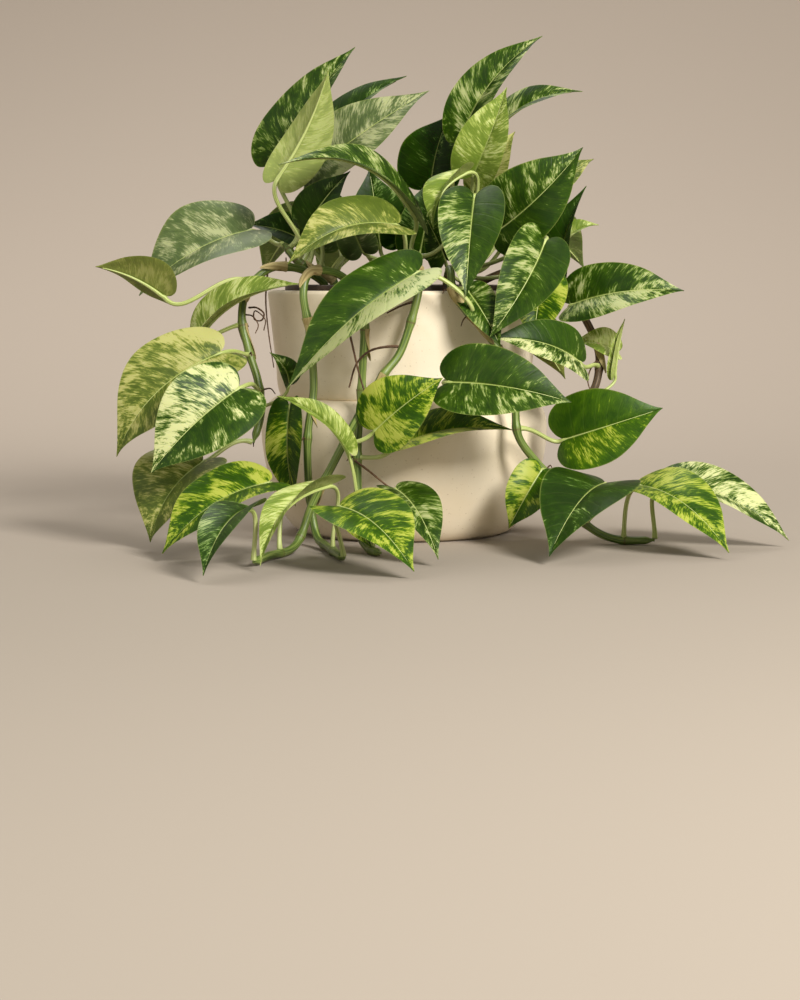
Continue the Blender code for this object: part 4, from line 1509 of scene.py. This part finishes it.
@dataclass
class Foliage:
    """All leaves of the plant."""

    stems: Stems

    def build(self) -> None:
        """Makes each leaf; those with a solid stand for it."""
        PETIOLE.material("petiole_stalk")
        for number, (name, spec) in enumerate({**LEAVES, **SMALL_LEAVES}.items()):
            slot = "pale_leaf" if spec.tone is Tone.PALE or name in PALE_SOLIDS else "green_leaf"
            nodes = (f"leaf_{name}",) if name in LEAVES else ()
            Leaf(name, spec, self.stems, number).build(nodes, slot)


# Studio

# Name, place, aim, side length, power and colour of each soft light.
LIGHTS = (
    ("key", (0.85, -1.45, 1.15), (0.0, 0.0, 0.14), 0.55, 49, (1.0, 0.97, 0.93)),
    ("fill", (-1.4, -1.2, 0.9), (0, 0, 0.15), 1.4, 6, (1.0, 0.98, 0.94)),
    ("top", (-0.3, 0.9, 1.7), (0, 0, 0.2), 0.9, 11, (1.0, 0.98, 0.95)),
)


@dataclass
class Studio:
    """A pale floor that curves up into a plain backdrop, soft lights and the camera; the floor is painted
    darker than the wall as painted shade.

    Attributes:
        focal_length: The camera's focal length, millimetres.
        camera_place: Where the camera stands.
        camera_tilt: How far it looks down, degrees.
        shaded_floor_colour: Colour of the floor, painted darker than the wall's as painted shade.
        lit_wall_colour: Colour of the wall, lighter than the floor's.
        shade_span: Places along Y where the floor's painted shade starts and ends to turn into the wall's
            colour.
        shade_span: Places along Y where the floor's colour starts and ends to turn into the wall's.
        back: Distance of the wall behind the plant.
        bend: Radius of the curve from floor to wall.
        height: Height of the wall.
        reach: How far the floor goes to each side and to the front.
        room_colour: Colour of the light from all around.
        room_light: Its strength.
    """

    focal_length: float = 77.4
    camera_place: Point = (-0.003, -1.59, 0.187)
    camera_tilt: float = 5.9
    # The floor's colour is painted darker than the wall's: painted shade.
    shaded_floor_colour: Colour = srgb("#9a9083")
    lit_wall_colour: Colour = srgb("#c8bbad")
    shade_span: tuple[float, float] = (-0.6, 1.6)
    back: float = 2.7
    bend: float = 2.1
    height: float = 3.2
    reach: float = 4.0
    room_colour: Colour = (1.0, 0.95, 0.87)
    room_light: float = 0.44

    def sweep(self) -> None:
        """The floor and the wall behind: a profile of floor, quarter turn and wall, drawn sideways."""
        turn, start = np.linspace(0, RIGHT_ANGLE, 24), self.back - self.bend
        profile = np.vstack([
            [(-self.reach, 0), (start, 0)],
            np.stack([start + self.bend * np.sin(turn), self.bend * (1 - np.cos(turn))], axis=1),
            [(self.back, self.height)],
        ])
        sides = np.array([-self.reach, self.reach])
        points = np.stack([
            np.repeat(sides, len(profile)), np.tile(profile[:, 0], 2), np.tile(profile[:, 1], 2)
        ], axis=1)
        count = len(profile)
        row = np.arange(count - 1)
        faces = np.stack([row, row + count, row + count + 1, row + 1], axis=1)
        mesh = bpy.data.meshes.new("studio_sweep")
        mesh.from_pydata(points.tolist(), [], faces.tolist())
        mesh.shade_smooth()
        shader = Shader("studio_paper")
        _, away, _ = shader.parts(shader.place())
        # Painted shade: the sweep's colour darkens from the wall down to the floor along Y.
        colour = shader.mix(shader.step(away, *self.shade_span), self.shaded_floor_colour, self.lit_wall_colour)
        mesh.materials.append(shader.finish(Base_Color=colour, Roughness=0.9))
        sweep = bpy.data.objects.new("studio_sweep", mesh)
        bpy.context.scene.collection.objects.link(sweep)

    def light(self, name: str, place: Point, aim: Point, size: float, power: float, colour: Colour) -> None:
        """One square soft light at a place, turned to its aim."""
        data = bpy.data.lights.new(name, "AREA")
        data.size, data.energy, data.color = size, power, colour
        lamp = bpy.data.objects.new(name, data)
        bpy.context.scene.collection.objects.link(lamp)
        lamp.location = place
        way = np.array(aim) - np.array(place)
        lamp.rotation_euler = (math.acos(-way[2] / np.linalg.norm(way)), 0, math.atan2(-way[0], way[1]))

    def build(self) -> None:
        """Makes the studio."""
        scene = bpy.context.scene
        self.sweep()
        for row in LIGHTS:
            self.light(*row)
        world = bpy.data.worlds.new("room")
        world.use_nodes = True
        background = world.node_tree.nodes["Background"]
        background.inputs["Color"].default_value = (*self.room_colour, 1)
        background.inputs["Strength"].default_value = self.room_light
        scene.world = world
        scene.view_settings.view_transform = "Standard"
        camera = bpy.data.cameras.new("camera")
        camera.lens = self.focal_length
        eye = bpy.data.objects.new("camera", camera)
        scene.collection.objects.link(eye)
        eye.location = self.camera_place
        eye.rotation_euler = (math.radians(90 - self.camera_tilt), 0, 0)
        scene.camera = eye


def main() -> None:
    """Builds the studio, the pots, the soil and the plant."""
    logging.basicConfig(level=logging.INFO, format="%(name)s %(message)s")
    Studio().build()
    low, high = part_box("planter")
    Planter(height=high.z, bulge_radius=(high.x - low.x) / 2).build()
    low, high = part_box("grower_pot")
    GrowerPot(foot=low.z, rim=high.z, lip_radius=(high.x - low.x) / 2).build()
    low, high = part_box("soil")
    soil = SoilBed(radius=(high.x - low.x) / 2, top=high.z, bottom=low.z)
    soil.build()
    stems = Stems(soil)
    stems.build()
    Foliage(stems).build()
    Roots(stems).build()
    Husks(stems).build()


if __name__ == "__main__":
    main()
